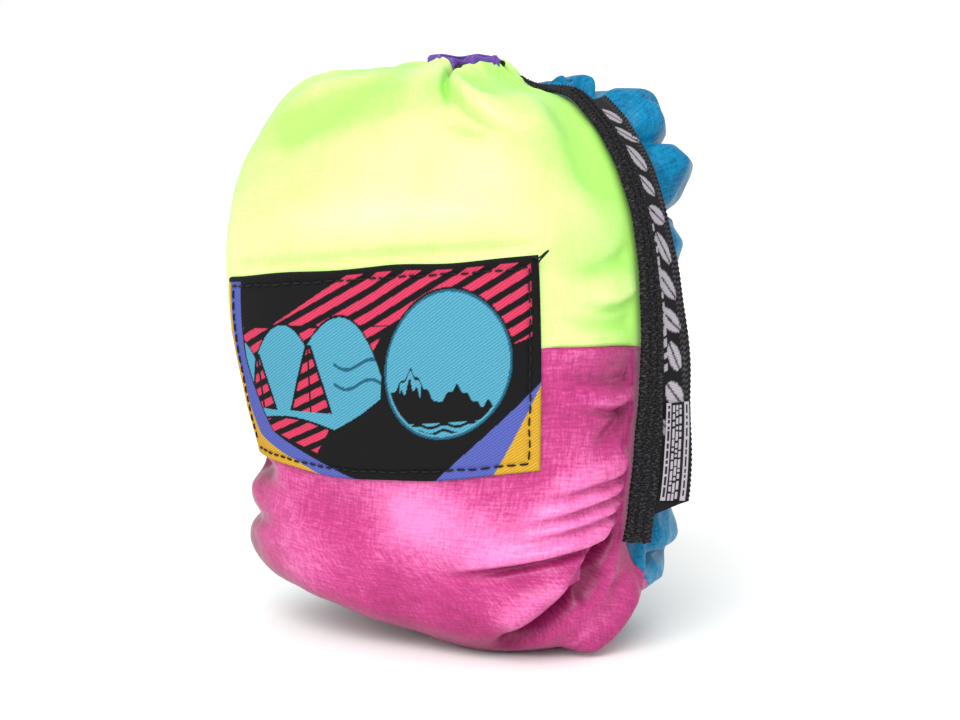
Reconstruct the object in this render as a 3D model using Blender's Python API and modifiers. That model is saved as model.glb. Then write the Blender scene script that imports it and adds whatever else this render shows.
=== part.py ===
"""A camping hammock packed into the drawstring stuff sack that is sewn to its own edge.

The sack stands upright with its gathered mouth at the top. Inside it lie the folded bed panels,
and the two gathered ends of the bed with their rope loops and wire-gate carabiners.

Frame: +X is the side with the black seam tape and the printed label tape, -Y is the front with
the woven patch, +Z is up. The floor is at z = 0. Lengths in this file are millimetres, and MM
turns them to metres where a mesh or a place is made.
"""

import math

import bmesh
import bpy
import numpy as np
from mathutils import Matrix, Vector

MM = 0.001
OBJECT_NAME = "camping_hammock"

# The box of the sack stands over the origin, so the sack's own centre line is moved by this.
CENTRE_LINE = Vector((-1.15, -1.56, 0.0))

# The sack's four outlines, each from the rim of the mouth to the middle of the base, as
# (distance from the centre line, height).
RIGHT_OUTLINE = [(10, 148), (18, 141), (30, 137), (41, 127), (49, 110), (52, 88), (52.5, 64),
                 (52.5, 42), (51, 22), (44, 7), (32, 1), (17, 0), (0, 0)]
LEFT_OUTLINE = [(10, 148), (25, 146), (43, 140), (55, 126), (60, 106), (60, 84), (55, 64),
                (49.5, 48), (54, 31), (52, 14), (38, 3), (20, 0), (0, 0)]
FRONT_OUTLINE = [(8.5, 147.5), (17.5, 145), (29, 139), (38, 125), (42, 105), (42.5, 82), (41, 60),
                 (40, 40), (39, 22), (34, 8), (24, 1.2), (12, 0), (0, 0)]
REAR_OUTLINE = [(9, 149), (17, 143), (31, 138.5), (43, 127), (48, 110), (46, 88), (43, 64),
                (42, 42), (41, 22), (35, 7), (25, 1), (13, 0), (0, 0)]
FRONT_SQUARENESS = 3.2   # superellipse exponent of the plan view, 2 is an ellipse
REAR_SQUARENESS = 2.5
ROUND_MOUTH = 0.15       # the plan view turns from round to square over this much of the drop
BASE_DROP = 11 / 12      # the drop at which every outline has reached the floor

# Sewn cloth
WALL = 0.8
SEAM_GAP = 0.25
SEAM_DROP = 0.44         # the level seam between the two front panels
SEAM_DROP_GAP = 0.0010
SLEEVE_WALL = 0.8
SLEEVE_INSET = 4.1
SLEEVE_BOTTOM, SLEEVE_TOP = 143.5, 150.6
CORD_NOTCH = (4.2, 6.0, 15.5, 142.5, 152.0)   # half width, near y, far y, low z, high z

# Woven patch: the (angle, drop) of its corners and of the middle of its two long edges
PATCH_TOP = [(-134, 0.379), (-86, 0.356), (-45, 0.352)]
PATCH_BOTTOM = [(-133, 0.566), (-92, 0.560), (-47, 0.543)]
PATCH_LIFT = 0.35
PATCH_THICKNESS = 1.1
STITCH_INSET = 0.055     # of the patch's width, and the same distance along its height
STITCH_RADIUS = 0.35

# Side tapes: (drop, angle of the sewn edge, lean away from the cloth), both angles in degrees
RIGHT_TAPE = [(0.055, 35, 6), (0.09, 22, 6), (0.15, 5, 6), (0.20, -1, 6), (0.25, -4, 7),
              (0.35, -6, 10), (0.42, -6, 18), (0.47, -7, 28), (0.53, -10, 42), (0.58, -13, 50),
              (0.635, -17, 52)]
LEFT_TAPE = [(0.07, 32, 6), (0.11, 18, 6), (0.16, 7, 6), (0.22, 1, 6), (0.30, 0, 6),
             (0.64, 0, 6)]
RIB_WIDTH, RIB_THICKNESS = 6.8, 0.9
LABEL_WIDTH, LABEL_THICKNESS = 15.0, 0.6
LABEL_DROPS = (0.155, 0.600)
CARE_DROPS = (0.500, 0.588)
CARE_WIDTHS = (7.6, 14.2)
CARE_THICKNESS = 0.6

# Drawcord: one cord, from one free end over the back of the mouth, round it and back.
CORD_DIAMETER = 2.0
CORD_HALF_ROUTE = [
    (1.3, 54.5, 17.3), (1.4, 54.5, 38), (1.3, 54.5, 62), (1.3, 54.5, 86), (1.3, 54.5, 102),
    (1.3, 54.2, 112), (1.35, 51.8, 121), (1.5, 46.8, 129.6), (1.6, 39.6, 135.8),
    (1.7, 31.5, 140.2), (1.8, 24, 142.8), (1.9, 17.6, 145.0), (2.3, 12.2, 146.2),
    (3.5, 8.3, 146.1), (5.5, 4.9, 146), (7.1, 2.2, 146), (7.5, -1.0, 146), (6.2, -3.9, 146),
    (3.3, -5.8, 146), (0, -6.4, 146),
]
KNOT_HALF_SIZES = (4.6, 3.4, 4.8)
KNOT_CENTRE = Vector((0, 54.5, 12))

# Cord lock: a barrel with a spring-loaded plunger, lying across the two tails.
LOCK_CENTRE = Vector((0, 54.5, 102))
BARREL_RADIUS, BORE_RADIUS, PLUNGER_RADIUS, HEAD_RADIUS = 6.5, 4.9, 4.6, 6.2
BARREL_FROM, BARREL_TO = -12.6, 7.5
BORE_FROM = -11.4
PLUNGER_FROM, PLUNGER_TO = -4.4, 12.0
HEAD_LENGTH = 2.4
SLOT_HALF_X, SLOT_HALF_Y = 2.6, 1.35
PLUNGER_TRAVEL = 4.0
SPRING_RADIUS, SPRING_WIRE, SPRING_TURNS = 3.3, 0.5, 3
COIL_STEPS = 9
SPRING_FROM, SPRING_TO = -10.8, -9.0

# Contents: the bed's cloth fills the sack, a little smaller than its inside.
CONTENTS_SCALE = (0.94, 0.92, 0.95)
CONTENTS_LIFT = 2.6
CONTENTS_TOP_DROP = 0.12
LAYER_SPLIT = 27.0
LAYER_GAP = 0.3
POCKET_HALF_WIDTH = 25.5
POCKET_DEPTH = 25.0
POCKET_CORNER = 4.0
POCKET_BELOW, POCKET_ABOVE = 75.5, 42.5

# Carabiners and gathered ends, in each clip's own plane: u across, v up, from its middle
HEAD_CLIP = Vector((-4, -14.5, 82))
FOOT_CLIP = Vector((4, 14.5, 80.5))
ROD_RADIUS = 4.0
CLIP_ROUTE = [(16.5, -14.5), (16.3, -21), (12, -30), (3, -35.5), (-8, -33), (-15.5, -24),
              (-18, -10), (-18, 10), (-15, 25), (-7, 34.5), (5, 36), (14, 30), (17.5, 20),
              (17.6, 11)]
HINGE_UV = (16.5, -17.5)
GATE_TOP_UV = (17.2, 14.0)
GATE_WIRE, GATE_HALF_WIDTH = 1.0, 5.45
HINGE_CLEARANCE = 0.28
NOSE_NOTCH = (8.0, 18.4, 12.6, 15.4)     # u from, u to, v from, v to
ROPE_RADIUS = 2.0
ROPE_U = 3.0
ROPE_TOP_V, ROPE_LOW_V, ROPE_HALF_WIDTH = -35.5, -48.5, 6.5
ROPE_CLEARANCE = 0.3
GATHER_PROFILE = [(0, -47), (8, -48), (12.4, -52.5), (13, -57.5), (9.6, -61.5), (10, -63.5),
                  (12.8, -67), (13.6, -70.5), (12, -73.2), (0, -73.2)]
GATHER_DEPTH_SCALE = 0.85

FINISHES = {
    "lime_taffeta": ((0.60, 0.95, 0.25), 0.45, 0.0),
    "pink_taffeta": ((0.80, 0.10, 0.33), 0.40, 0.0),
    "teal_taffeta": ((0.01, 0.28, 0.50), 0.42, 0.0),
    "purple_taffeta": ((0.15, 0.06, 0.38), 0.45, 0.0),
    "black_binding": ((0.015, 0.015, 0.015), 0.80, 0.0),
    "black_satin": ((0.02, 0.02, 0.022), 0.45, 0.0),
    "grey_label": ((0.12, 0.12, 0.13), 0.55, 0.0),
    "woven_badge": ((0.03, 0.03, 0.035), 0.75, 0.0),
    "black_thread": ((0.01, 0.01, 0.01), 0.60, 0.0),
    "black_cord": ((0.015, 0.015, 0.017), 0.65, 0.0),
    "moulded_nylon": ((0.02, 0.02, 0.022), 0.40, 0.0),
    "spring_steel": ((0.60, 0.60, 0.62), 0.30, 1.0),
    "anodised_aluminium": ((0.62, 0.63, 0.65), 0.32, 1.0),
    "black_rope": ((0.02, 0.02, 0.022), 0.70, 0.0),
}


def clear_scene():
    """Remove whatever the scene already holds."""
    for obj in list(bpy.data.objects):
        bpy.data.objects.remove(obj, do_unlink=True)


def finish(name):
    """The material of this name, made once from its colour, roughness and metallic value."""
    if name in bpy.data.materials:
        return bpy.data.materials[name]
    colour, roughness, metallic = FINISHES[name]
    material = bpy.data.materials.new(name)
    material.use_nodes = True
    shader = material.node_tree.nodes["Principled BSDF"]
    shader.inputs["Base Color"].default_value = (*colour, 1.0)
    shader.inputs["Roughness"].default_value = roughness
    shader.inputs["Metallic"].default_value = metallic
    return material


def collection(name):
    """The collection of this name, made once and linked to the scene."""
    if name not in bpy.data.collections:
        bpy.context.scene.collection.children.link(bpy.data.collections.new(name))
    return bpy.data.collections[name]


def root():
    """The empty that carries the whole object, on the floor under the sack's centre line."""
    if "sack_centre_line" not in bpy.data.objects:
        empty = bpy.data.objects.new("sack_centre_line", None)
        empty.location = CENTRE_LINE * MM
        collection(OBJECT_NAME).objects.link(empty)
    return bpy.data.objects["sack_centre_line"]


def add_part(name, data, finish_name, at=Vector((0, 0, 0))):
    """A part of the object that holds this mesh or curve, with its origin at this place."""
    part = bpy.data.objects.new(name, data)
    data.materials.append(finish(finish_name))
    collection(OBJECT_NAME).objects.link(part)
    part.parent = root()
    part.location = at * MM
    return part


def add_cutter(name, data, at=Vector((0, 0, 0))):
    """A shape that is only taken away from a part or kept in common with it."""
    cutter = bpy.data.objects.new(name, data)
    collection("cutters").objects.link(cutter)
    cutter.parent = root()
    cutter.location = at * MM
    cutter.hide_render = True
    cutter.display_type = "WIRE"
    return cutter


def boolean(part, other, operation="DIFFERENCE"):
    """Cut the other shape from the part, or keep what they have in common."""
    modifier = part.modifiers.new(f"{operation.lower()}_{other.name}", "BOOLEAN")
    modifier.operation = operation
    modifier.object = other
    modifier.solver = "EXACT"


def smooth_mesh(mesh):
    """Shade the mesh smooth, with its hard edges kept."""
    mesh.shade_smooth()
    mesh.set_sharp_from_angle(angle=math.radians(40))


def mesh_from(bm, name):
    """A mesh data block made from this bmesh, which is freed."""
    mesh = bpy.data.meshes.new(name)
    bm.to_mesh(mesh)
    bm.free()
    smooth_mesh(mesh)
    return mesh


def box_mesh(name, low, high):
    """A box between two corners, in millimetres."""
    bm = bmesh.new()
    size = Vector(high) - Vector(low)
    middle = (Vector(high) + Vector(low)) / 2
    place = Matrix.Translation(middle * MM) @ Matrix.Diagonal((*(size * MM), 1.0))
    bmesh.ops.create_cube(bm, size=1.0, matrix=place)
    return mesh_from(bm, name)


def cylinder_mesh(name, radius, start, end, axis="X", segments=28):
    """A closed cylinder along an axis through the origin, between two distances on it."""
    bm = bmesh.new()
    turn = {"X": Matrix.Rotation(math.pi / 2, 4, "Y"), "Y": Matrix.Rotation(-math.pi / 2, 4, "X"),
            "Z": Matrix.Identity(4)}[axis]
    middle = Matrix.Translation((0, 0, (start + end) / 2 * MM))
    bmesh.ops.create_cone(bm, cap_ends=True, segments=segments, radius1=radius * MM,
                          radius2=radius * MM, depth=(end - start) * MM, matrix=turn @ middle)
    return mesh_from(bm, name)


# --- Curves through chosen points -------------------------------------------------------------


def between(points, at, cyclic=False):
    """A point of the Catmull-Rom curve through these points, for at from 0 to 1."""
    points = np.asarray(points, float)
    count = len(points)
    spans = count if cyclic else count - 1
    place = min(max(at, 0.0), 1.0) * spans
    index = min(int(place), spans - 1)
    part = place - index
    if cyclic:
        a, b, c, d = (points[(index + k) % count] for k in (-1, 0, 1, 2))
    else:
        b, c = points[index], points[index + 1]
        a = points[index - 1] if index > 0 else 2 * b - c
        d = points[index + 2] if index + 2 < count else 2 * c - b
    return 0.5 * (2 * b + (c - a) * part + (2 * a - 5 * b + 4 * c - d) * part**2
                  + (3 * b - a - 3 * c + d) * part**3)


def evenly_spaced(points, step, cyclic=False, fine=900):
    """Points a step apart along the smooth curve through these points."""
    line = np.array([between(points, at, cyclic) for at in np.linspace(0, 1, fine)])
    along = np.concatenate([[0], np.cumsum(np.linalg.norm(np.diff(line, axis=0), axis=1))])
    places = np.linspace(0, along[-1], round(along[-1] / step) + 1)
    spaced = np.stack([np.interp(places, along, line[:, k]) for k in range(3)], axis=1)
    return spaced[:-1] if cyclic else spaced


def tube_curve(name, points, radius, cyclic=False, sides_level=2):
    """A round bar along these points, as a curve with filled caps."""
    curve = bpy.data.curves.new(name, "CURVE")
    curve.dimensions = "3D"
    curve.bevel_depth = radius * MM
    curve.bevel_resolution = sides_level
    curve.use_fill_caps = True
    spline = curve.splines.new("POLY")
    spline.points.add(len(points) - 1)
    for spot, point in zip(spline.points, points):
        spot.co = (*(Vector(point) * MM), 1.0)
    spline.use_cyclic_u = cyclic
    return curve


def mesh_of_curve(curve, name):
    """The curve's surface as a closed mesh, with its caps welded to its sides."""
    holder = bpy.data.objects.new(name, curve)
    mesh = bpy.data.meshes.new_from_object(holder)
    bpy.data.objects.remove(holder)
    bm = bmesh.new()
    bm.from_mesh(mesh)
    bmesh.ops.remove_doubles(bm, verts=bm.verts, dist=1e-6)
    bm.to_mesh(mesh)
    bm.free()
    mesh.name = name
    smooth_mesh(mesh)
    return mesh


# --- The sack's surface -----------------------------------------------------------------------


def sack_point(angle, drop):
    """The sack's surface at an angle in degrees round from +X and a drop from 0, the rim of
    the mouth, to 1, the middle of the base."""
    cos, sin = math.cos(math.radians(angle)), math.sin(math.radians(angle))
    side = between(RIGHT_OUTLINE if cos >= 0 else LEFT_OUTLINE, drop)
    face = between(REAR_OUTLINE if sin >= 0 else FRONT_OUTLINE, drop)
    squareness = REAR_SQUARENESS if sin >= 0 else FRONT_SQUARENESS
    power = 2 + (squareness - 2) * min(drop / ROUND_MOUTH, 1.0)
    reach = (abs(cos) ** power + abs(sin) ** power) ** (-1 / power)
    height = max(cos * cos * side[1] + sin * sin * face[1], 0.0)
    return Vector((cos * reach * side[0], sin * reach * face[0], height))


def sack_normal(angle, drop):
    """The direction straight out of the sack's surface."""
    step = 0.004
    round_it = sack_point(angle + 0.5, drop) - sack_point(angle - 0.5, drop)
    down_it = sack_point(angle, drop + step) - sack_point(angle, drop - step)
    return down_it.cross(round_it).normalized()


def raised(angle, drop, lift):
    """A point this far outside the sack's surface."""
    return sack_point(angle, drop) + sack_normal(angle, drop) * lift


def surface_mesh(name, place, columns, rows):
    """An open sheet: a grid whose points place(u, v) puts on a surface, u and v from 0 to 1."""
    bm = bmesh.new()
    bmesh.ops.create_grid(bm, x_segments=columns, y_segments=rows, size=1.0)
    for vert in bm.verts:
        vert.co = Vector(place((vert.co.x + 1) / 2, (vert.co.y + 1) / 2)) * MM
    bmesh.ops.remove_doubles(bm, verts=bm.verts, dist=5e-5)
    return mesh_from(bm, name)


def add_wall(part, thickness):
    """Give an open sheet its thickness, on the side that its faces turn away from."""
    wall = part.modifiers.new("wall", "SOLIDIFY")
    wall.thickness = thickness * MM
    wall.offset = -1.0


# --- Sewn cloth -------------------------------------------------------------------------------


def panel_place(from_angle, to_angle, top_drop, base_rows, wall_rows, side):
    """The place of a panel's points: up the wall from the base, and straight across the base
    to the seam under it. side is -1 for the front half and +1 for the rear."""
    total = base_rows + wall_rows

    def place(u, v):
        angle = from_angle + (to_angle - from_angle) * u
        row = v * total
        if row < base_rows:
            point = sack_point(angle, BASE_DROP)
            point.y *= row / base_rows
        else:
            share = (row - base_rows) / wall_rows
            point = sack_point(angle, BASE_DROP + (top_drop - BASE_DROP) * share)
        point.y = side * max(side * point.y, SEAM_GAP)
        return point

    return place


def front_upper_panel():
    """The lime cloth from the mouth down to the level seam."""
    drops = (SEAM_DROP - SEAM_DROP_GAP, 0.0)

    def place(u, v):
        point = sack_point(-180 + 180 * u, drops[0] + (drops[1] - drops[0]) * v)
        point.y = min(point.y, -SEAM_GAP)
        return point

    part = add_part("front_upper_panel", surface_mesh("front_upper_panel", place, 18, 9),
                    "lime_taffeta")
    add_wall(part, WALL)


def front_lower_panel():
    """The pink cloth from the level seam down and under the sack to the seam in the base."""
    place = panel_place(-180, 0, SEAM_DROP + SEAM_DROP_GAP, 2, 9, -1)
    part = add_part("front_lower_panel", surface_mesh("front_lower_panel", place, 18, 11),
                    "pink_taffeta")
    add_wall(part, WALL)


def rear_panel():
    """The teal cloth of the whole back, notched where the drawcord comes out of the mouth."""
    place = panel_place(0, 180, 0.0, 2, 16, 1)
    part = add_part("rear_panel", surface_mesh("rear_panel", place, 18, 18), "teal_taffeta")
    add_wall(part, WALL)
    half, near, far, low, high = CORD_NOTCH
    notch = box_mesh("cord_notch", (-half, near, low), (half, far, high))
    boolean(part, add_cutter("cord_notch", notch))


def mouth_sleeve():
    """The purple lining band that stands inside the gathered mouth."""

    def place(u, v):
        rim = sack_point(360 * u, 0.0)
        flat = Vector((rim.x, rim.y, 0))
        inward = flat * (1 - SLEEVE_INSET / flat.length)
        return (inward.x, inward.y, SLEEVE_BOTTOM + (SLEEVE_TOP - SLEEVE_BOTTOM) * v)

    part = add_part("mouth_sleeve", surface_mesh("mouth_sleeve", place, 20, 2), "purple_taffeta")
    add_wall(part, SLEEVE_WALL)


def patch_spot(u, v):
    """The (angle, drop) of a place on the patch, u from its left edge, v from its bottom."""
    low = between(PATCH_BOTTOM, u)
    high = between(PATCH_TOP, u)
    return low + (high - low) * v


def woven_patch():
    """The woven badge sewn over the seam of the two front panels, and its line of stitches."""

    def place(u, v):
        return raised(*patch_spot(u, v), PATCH_LIFT + PATCH_THICKNESS)

    part = add_part("woven_patch", surface_mesh("woven_patch", place, 14, 6), "woven_badge")
    add_wall(part, PATCH_THICKNESS)

    lift = PATCH_LIFT + PATCH_THICKNESS + 0.3 + STITCH_RADIUS
    across, up = STITCH_INSET * 0.55, STITCH_INSET
    bottom = [(across + (1 - 2 * across) * k / 14, up) for k in range(15)]
    right = [(1 - across, up + (1 - 2 * up) * k / 6) for k in range(1, 6)]
    top = [(1 - u, 1 - v) for u, v in bottom]
    left = [(1 - u, 1 - v) for u, v in right]
    loop = [raised(*patch_spot(u, v), lift) for u, v in bottom + right + top + left]
    curve = tube_curve("patch_stitching", loop, STITCH_RADIUS, cyclic=True)
    curve.bevel_resolution = 1
    add_part("patch_stitching", curve, "black_thread")


def front_seam_stitching():
    """The thread along the level seam, from the patch to the side tape."""
    lift = STITCH_RADIUS + 0.3
    line = [raised(angle, SEAM_DROP, lift) for angle in np.linspace(-41, -8, 9)]
    curve = tube_curve("front_seam_stitching", line, STITCH_RADIUS)
    curve.bevel_resolution = 1
    add_part("front_seam_stitching", curve, "black_thread")


# --- Side tapes -------------------------------------------------------------------------------


def tape_setting(table, drop):
    """The angle and lean of a side tape at this drop."""
    drops = [row[0] for row in table]
    return [float(np.interp(drop, drops, [row[k] for row in table])) for k in (1, 2)]


def tape_point(table, side, drop, width, height):
    """A point this far across a side tape from its sewn edge and this far off its back face.
    side is +1 for the right tape and -1 for the left."""
    angle, lean = tape_setting(table, drop)
    if side < 0:
        angle = 180 - angle
    lean = math.radians(lean)
    base = sack_point(angle, drop)
    out = sack_normal(angle, drop)
    down = (sack_point(angle, drop + 0.01) - sack_point(angle, drop - 0.01)).normalized()
    rearward = out.cross(down) * side
    across = rearward * math.cos(lean) + out * math.sin(lean)
    face = out * math.cos(lean) - rearward * math.sin(lean)
    return base + out * 0.3 + across * width + face * height


def tape_strip(name, finish_name, table, side, drops, widths, heights, rows, at=Vector((0, 0, 0))):
    """A flat strip that lies on a side tape, from one width to another."""
    low, high = heights

    def place(u, v):
        drop = drops[1] + (drops[0] - drops[1]) * v
        across = u if side > 0 else 1 - u
        width = widths[0] + (widths[1] - widths[0]) * across
        return tape_point(table, side, drop, width, high) - at

    part = add_part(name, surface_mesh(name, place, 2, rows), finish_name, at)
    add_wall(part, high - low)


def side_tapes():
    """The ribbed binding of both side seams, the printed label tape sewn under the right one,
    and the line of stitches through them."""
    label = (0.3, 0.3 + LABEL_THICKNESS)
    rib = (label[1] + 0.3, label[1] + 0.3 + RIB_THICKNESS)
    ends = (RIGHT_TAPE[0][0], RIGHT_TAPE[-1][0])
    tape_strip("label_tape", "black_satin", RIGHT_TAPE, 1, LABEL_DROPS, (1.0, LABEL_WIDTH),
               label, 22)
    tape_strip("side_tape_right", "black_binding", RIGHT_TAPE, 1, ends, (0.0, RIB_WIDTH), rib, 24)
    left_ends = (LEFT_TAPE[0][0], LEFT_TAPE[-1][0])
    tape_strip("side_tape_left", "black_binding", LEFT_TAPE, -1, left_ends, (0.0, RIB_WIDTH),
               (0.3, 0.3 + RIB_THICKNESS), 20)
    lift = rib[1] + 0.3 + STITCH_RADIUS
    line = [tape_point(RIGHT_TAPE, 1, drop, RIB_WIDTH / 2, lift)
            for drop in np.linspace(ends[0] + 0.01, ends[1] - 0.01, 28)]
    curve = tube_curve("tape_stitching", line, STITCH_RADIUS)
    curve.bevel_resolution = 1
    add_part("tape_stitching", curve, "black_thread")


def care_label():
    """The care label, a flap sewn to the label tape along one edge, which it turns about."""
    low = 0.3 + LABEL_THICKNESS + 0.3
    hinge = tape_point(RIGHT_TAPE, 1, sum(CARE_DROPS) / 2, CARE_WIDTHS[0], low)
    tape_strip("care_label", "grey_label", RIGHT_TAPE, 1, CARE_DROPS, CARE_WIDTHS,
               (low, low + CARE_THICKNESS), 6, at=hinge)


# --- Drawcord and cord lock -------------------------------------------------------------------


def drawcord():
    """The cord round the mouth with its two tails, and the knot that joins their ends."""
    other_half = [(-x, y, z) for x, y, z in reversed(CORD_HALF_ROUTE[:-1])]
    route = evenly_spaced(CORD_HALF_ROUTE + other_half, 2.8 * CORD_DIAMETER)
    add_part("drawcord", tube_curve("drawcord", route, CORD_DIAMETER / 2), "black_cord")

    bm = bmesh.new()
    place = Matrix.Diagonal((*(Vector(KNOT_HALF_SIZES) * MM), 1.0))
    bmesh.ops.create_uvsphere(bm, u_segments=14, v_segments=9, radius=1.0, matrix=place)
    add_part("drawcord_knot", mesh_from(bm, "drawcord_knot"), "black_cord", KNOT_CENTRE)


def cord_lock():
    """The barrel, its plunger button and the spring between them."""
    barrel = add_part("cord_lock_barrel",
                      cylinder_mesh("cord_lock_barrel", BARREL_RADIUS, BARREL_FROM, BARREL_TO),
                      "moulded_nylon", LOCK_CENTRE)
    edge = barrel.modifiers.new("rounded_rim", "BEVEL")
    edge.width = 0.6 * MM
    edge.segments = 2
    edge.limit_method = "ANGLE"
    bore = cylinder_mesh("lock_bore", BORE_RADIUS, BORE_FROM, BARREL_TO + 5)
    boolean(barrel, add_cutter("lock_bore", bore, LOCK_CENTRE))
    slot = box_mesh("lock_slot", (-SLOT_HALF_X, -SLOT_HALF_Y, -12), (SLOT_HALF_X, SLOT_HALF_Y, 12))
    boolean(barrel, add_cutter("lock_slot", slot, LOCK_CENTRE))

    plunger = add_part("cord_lock_button",
                       cylinder_mesh("cord_lock_button", PLUNGER_RADIUS, PLUNGER_FROM, PLUNGER_TO),
                       "moulded_nylon", LOCK_CENTRE)
    head = cylinder_mesh("button_head", HEAD_RADIUS, PLUNGER_TO - 0.4, PLUNGER_TO + HEAD_LENGTH)
    boolean(plunger, add_cutter("button_head", head, LOCK_CENTRE), "UNION")
    way = box_mesh("plunger_slot", (-SLOT_HALF_X, -SLOT_HALF_Y, -12),
                   (SLOT_HALF_X + PLUNGER_TRAVEL, SLOT_HALF_Y, 12))
    boolean(plunger, add_cutter("plunger_slot", way, LOCK_CENTRE))

    steps = COIL_STEPS * SPRING_TURNS
    coil = [(SPRING_FROM + (SPRING_TO - SPRING_FROM) * k / steps,
             SPRING_RADIUS * math.cos(2 * math.pi * k / COIL_STEPS),
             SPRING_RADIUS * math.sin(2 * math.pi * k / COIL_STEPS)) for k in range(steps + 1)]
    curve = tube_curve("cord_lock_spring", coil, SPRING_WIRE / 2)
    curve.bevel_resolution = 1
    add_part("cord_lock_spring", curve, "spring_steel", LOCK_CENTRE)


# --- Contents ---------------------------------------------------------------------------------


def contents_mesh(name):
    """The closed form of everything packed in the sack."""
    scale = Matrix.Diagonal(CONTENTS_SCALE)

    def place(u, v):
        point = sack_point(360 * u, 1.0 + (CONTENTS_TOP_DROP - 1.0) * v)
        return scale @ point + Vector((0, 0, CONTENTS_LIFT))

    mesh = surface_mesh(name, place, 20, 11)
    bm = bmesh.new()
    bm.from_mesh(mesh)
    rim = [edge for edge in bm.edges if edge.is_boundary]
    bmesh.ops.holes_fill(bm, edges=rim)
    bm.to_mesh(mesh)
    bm.free()
    return mesh


def bed_layer(name, finish_name, near, far):
    """One folded layer of the bed's cloth: the slice of the contents between two y values."""
    part = add_part(name, contents_mesh(name), finish_name)
    slab = box_mesh(f"{name}_slab", (-90, near, -10), (90, far, 170))
    boolean(part, add_cutter(f"{name}_slab", slab), "INTERSECT")
    return part


def pocket_cutter(name, clip, towards):
    """The room for a clip and its gathered end, open to the layer beside it."""
    low = clip + Vector((-POCKET_HALF_WIDTH, 0, -POCKET_BELOW))
    high = clip + Vector((POCKET_HALF_WIDTH, 0, POCKET_ABOVE))
    near = towards * (LAYER_SPLIT + 5)
    deep = towards * (LAYER_SPLIT - POCKET_DEPTH)
    low.y, high.y = min(near, deep), max(near, deep)
    cutter = add_cutter(name, box_mesh(name, low, high))
    corner = cutter.modifiers.new("round_corners", "BEVEL")
    corner.width = POCKET_CORNER * MM
    corner.segments = 4
    corner.limit_method = "ANGLE"
    return cutter


def bed_layers():
    """The three panels of the bed, folded into layers from front to back."""
    bed_layer("bed_side_panel_near", "teal_taffeta", -90, -LAYER_SPLIT - LAYER_GAP)
    bed_layer("bed_side_panel_far", "teal_taffeta", LAYER_SPLIT + LAYER_GAP, 90)
    middle = bed_layer("bed_centre_panel", "pink_taffeta", -LAYER_SPLIT, LAYER_SPLIT)
    boolean(middle, pocket_cutter("head_pocket", HEAD_CLIP, -1))
    boolean(middle, pocket_cutter("foot_pocket", FOOT_CLIP, 1))


# --- Carabiners, rope loops and gathered ends -------------------------------------------------


def clip_points(points, facing):
    """Points of the clip's plane in space. facing is +1, or -1 for a clip turned half round."""
    return [(facing * u, 0.0, v) for u, v in points]


def carabiner(name, at, facing):
    """The bent rod of the carabiner with its hooked nose, and its sprung wire gate."""
    route = evenly_spaced(clip_points(CLIP_ROUTE, facing), 5.0)
    body_mesh = mesh_of_curve(tube_curve(name, route, ROD_RADIUS), name)
    body = add_part(f"{name}_body", body_mesh, "anodised_aluminium", at)

    u_from, u_to, v_from, v_to = NOSE_NOTCH
    near, far = sorted((facing * u_from, facing * u_to))
    notch = box_mesh(f"{name}_notch", (near, -8, v_from), (far, 8, v_to))
    boolean(body, add_cutter(f"{name}_notch", notch, at))
    hinge = Vector((facing * HINGE_UV[0], 0, HINGE_UV[1]))
    hole = cylinder_mesh(f"{name}_hinge_hole", GATE_WIRE + HINGE_CLEARANCE, -9, 9, "Y", 16)
    boolean(body, add_cutter(f"{name}_hinge_hole", hole, at + hinge))

    top = Vector((facing * GATE_TOP_UV[0], 0, GATE_TOP_UV[1])) - hinge
    half, corner = GATE_HALF_WIDTH, 0.9
    one_side = [(0.0, half - corner), (0.03, half - 0.25), (0.06, half), (0.35, half),
                (0.65, half), (0.94, half), (0.97, half - 0.25), (1.0, half - corner)]
    loop = [Vector((top.x * t, y, top.z * t)) for t, y in one_side]
    loop += [Vector((p.x, -p.y, p.z)) for p in reversed(loop)]
    gate = tube_curve(f"{name}_gate", loop, GATE_WIRE, cyclic=True)
    add_part(f"{name}_gate", gate, "spring_steel", at + hinge)


def rope_centreline(facing):
    """The closed loop of rope that joins a clip to its gathered end."""
    u = facing * ROPE_U
    turn = [math.pi * k / 8 for k in range(9)]
    over = [(u, ROPE_HALF_WIDTH * math.cos(a), ROPE_TOP_V + ROPE_HALF_WIDTH * math.sin(a))
            for a in turn]
    under = [(u, -ROPE_HALF_WIDTH * math.cos(a), ROPE_LOW_V - ROPE_HALF_WIDTH * math.sin(a))
             for a in turn]
    return over + under


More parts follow.
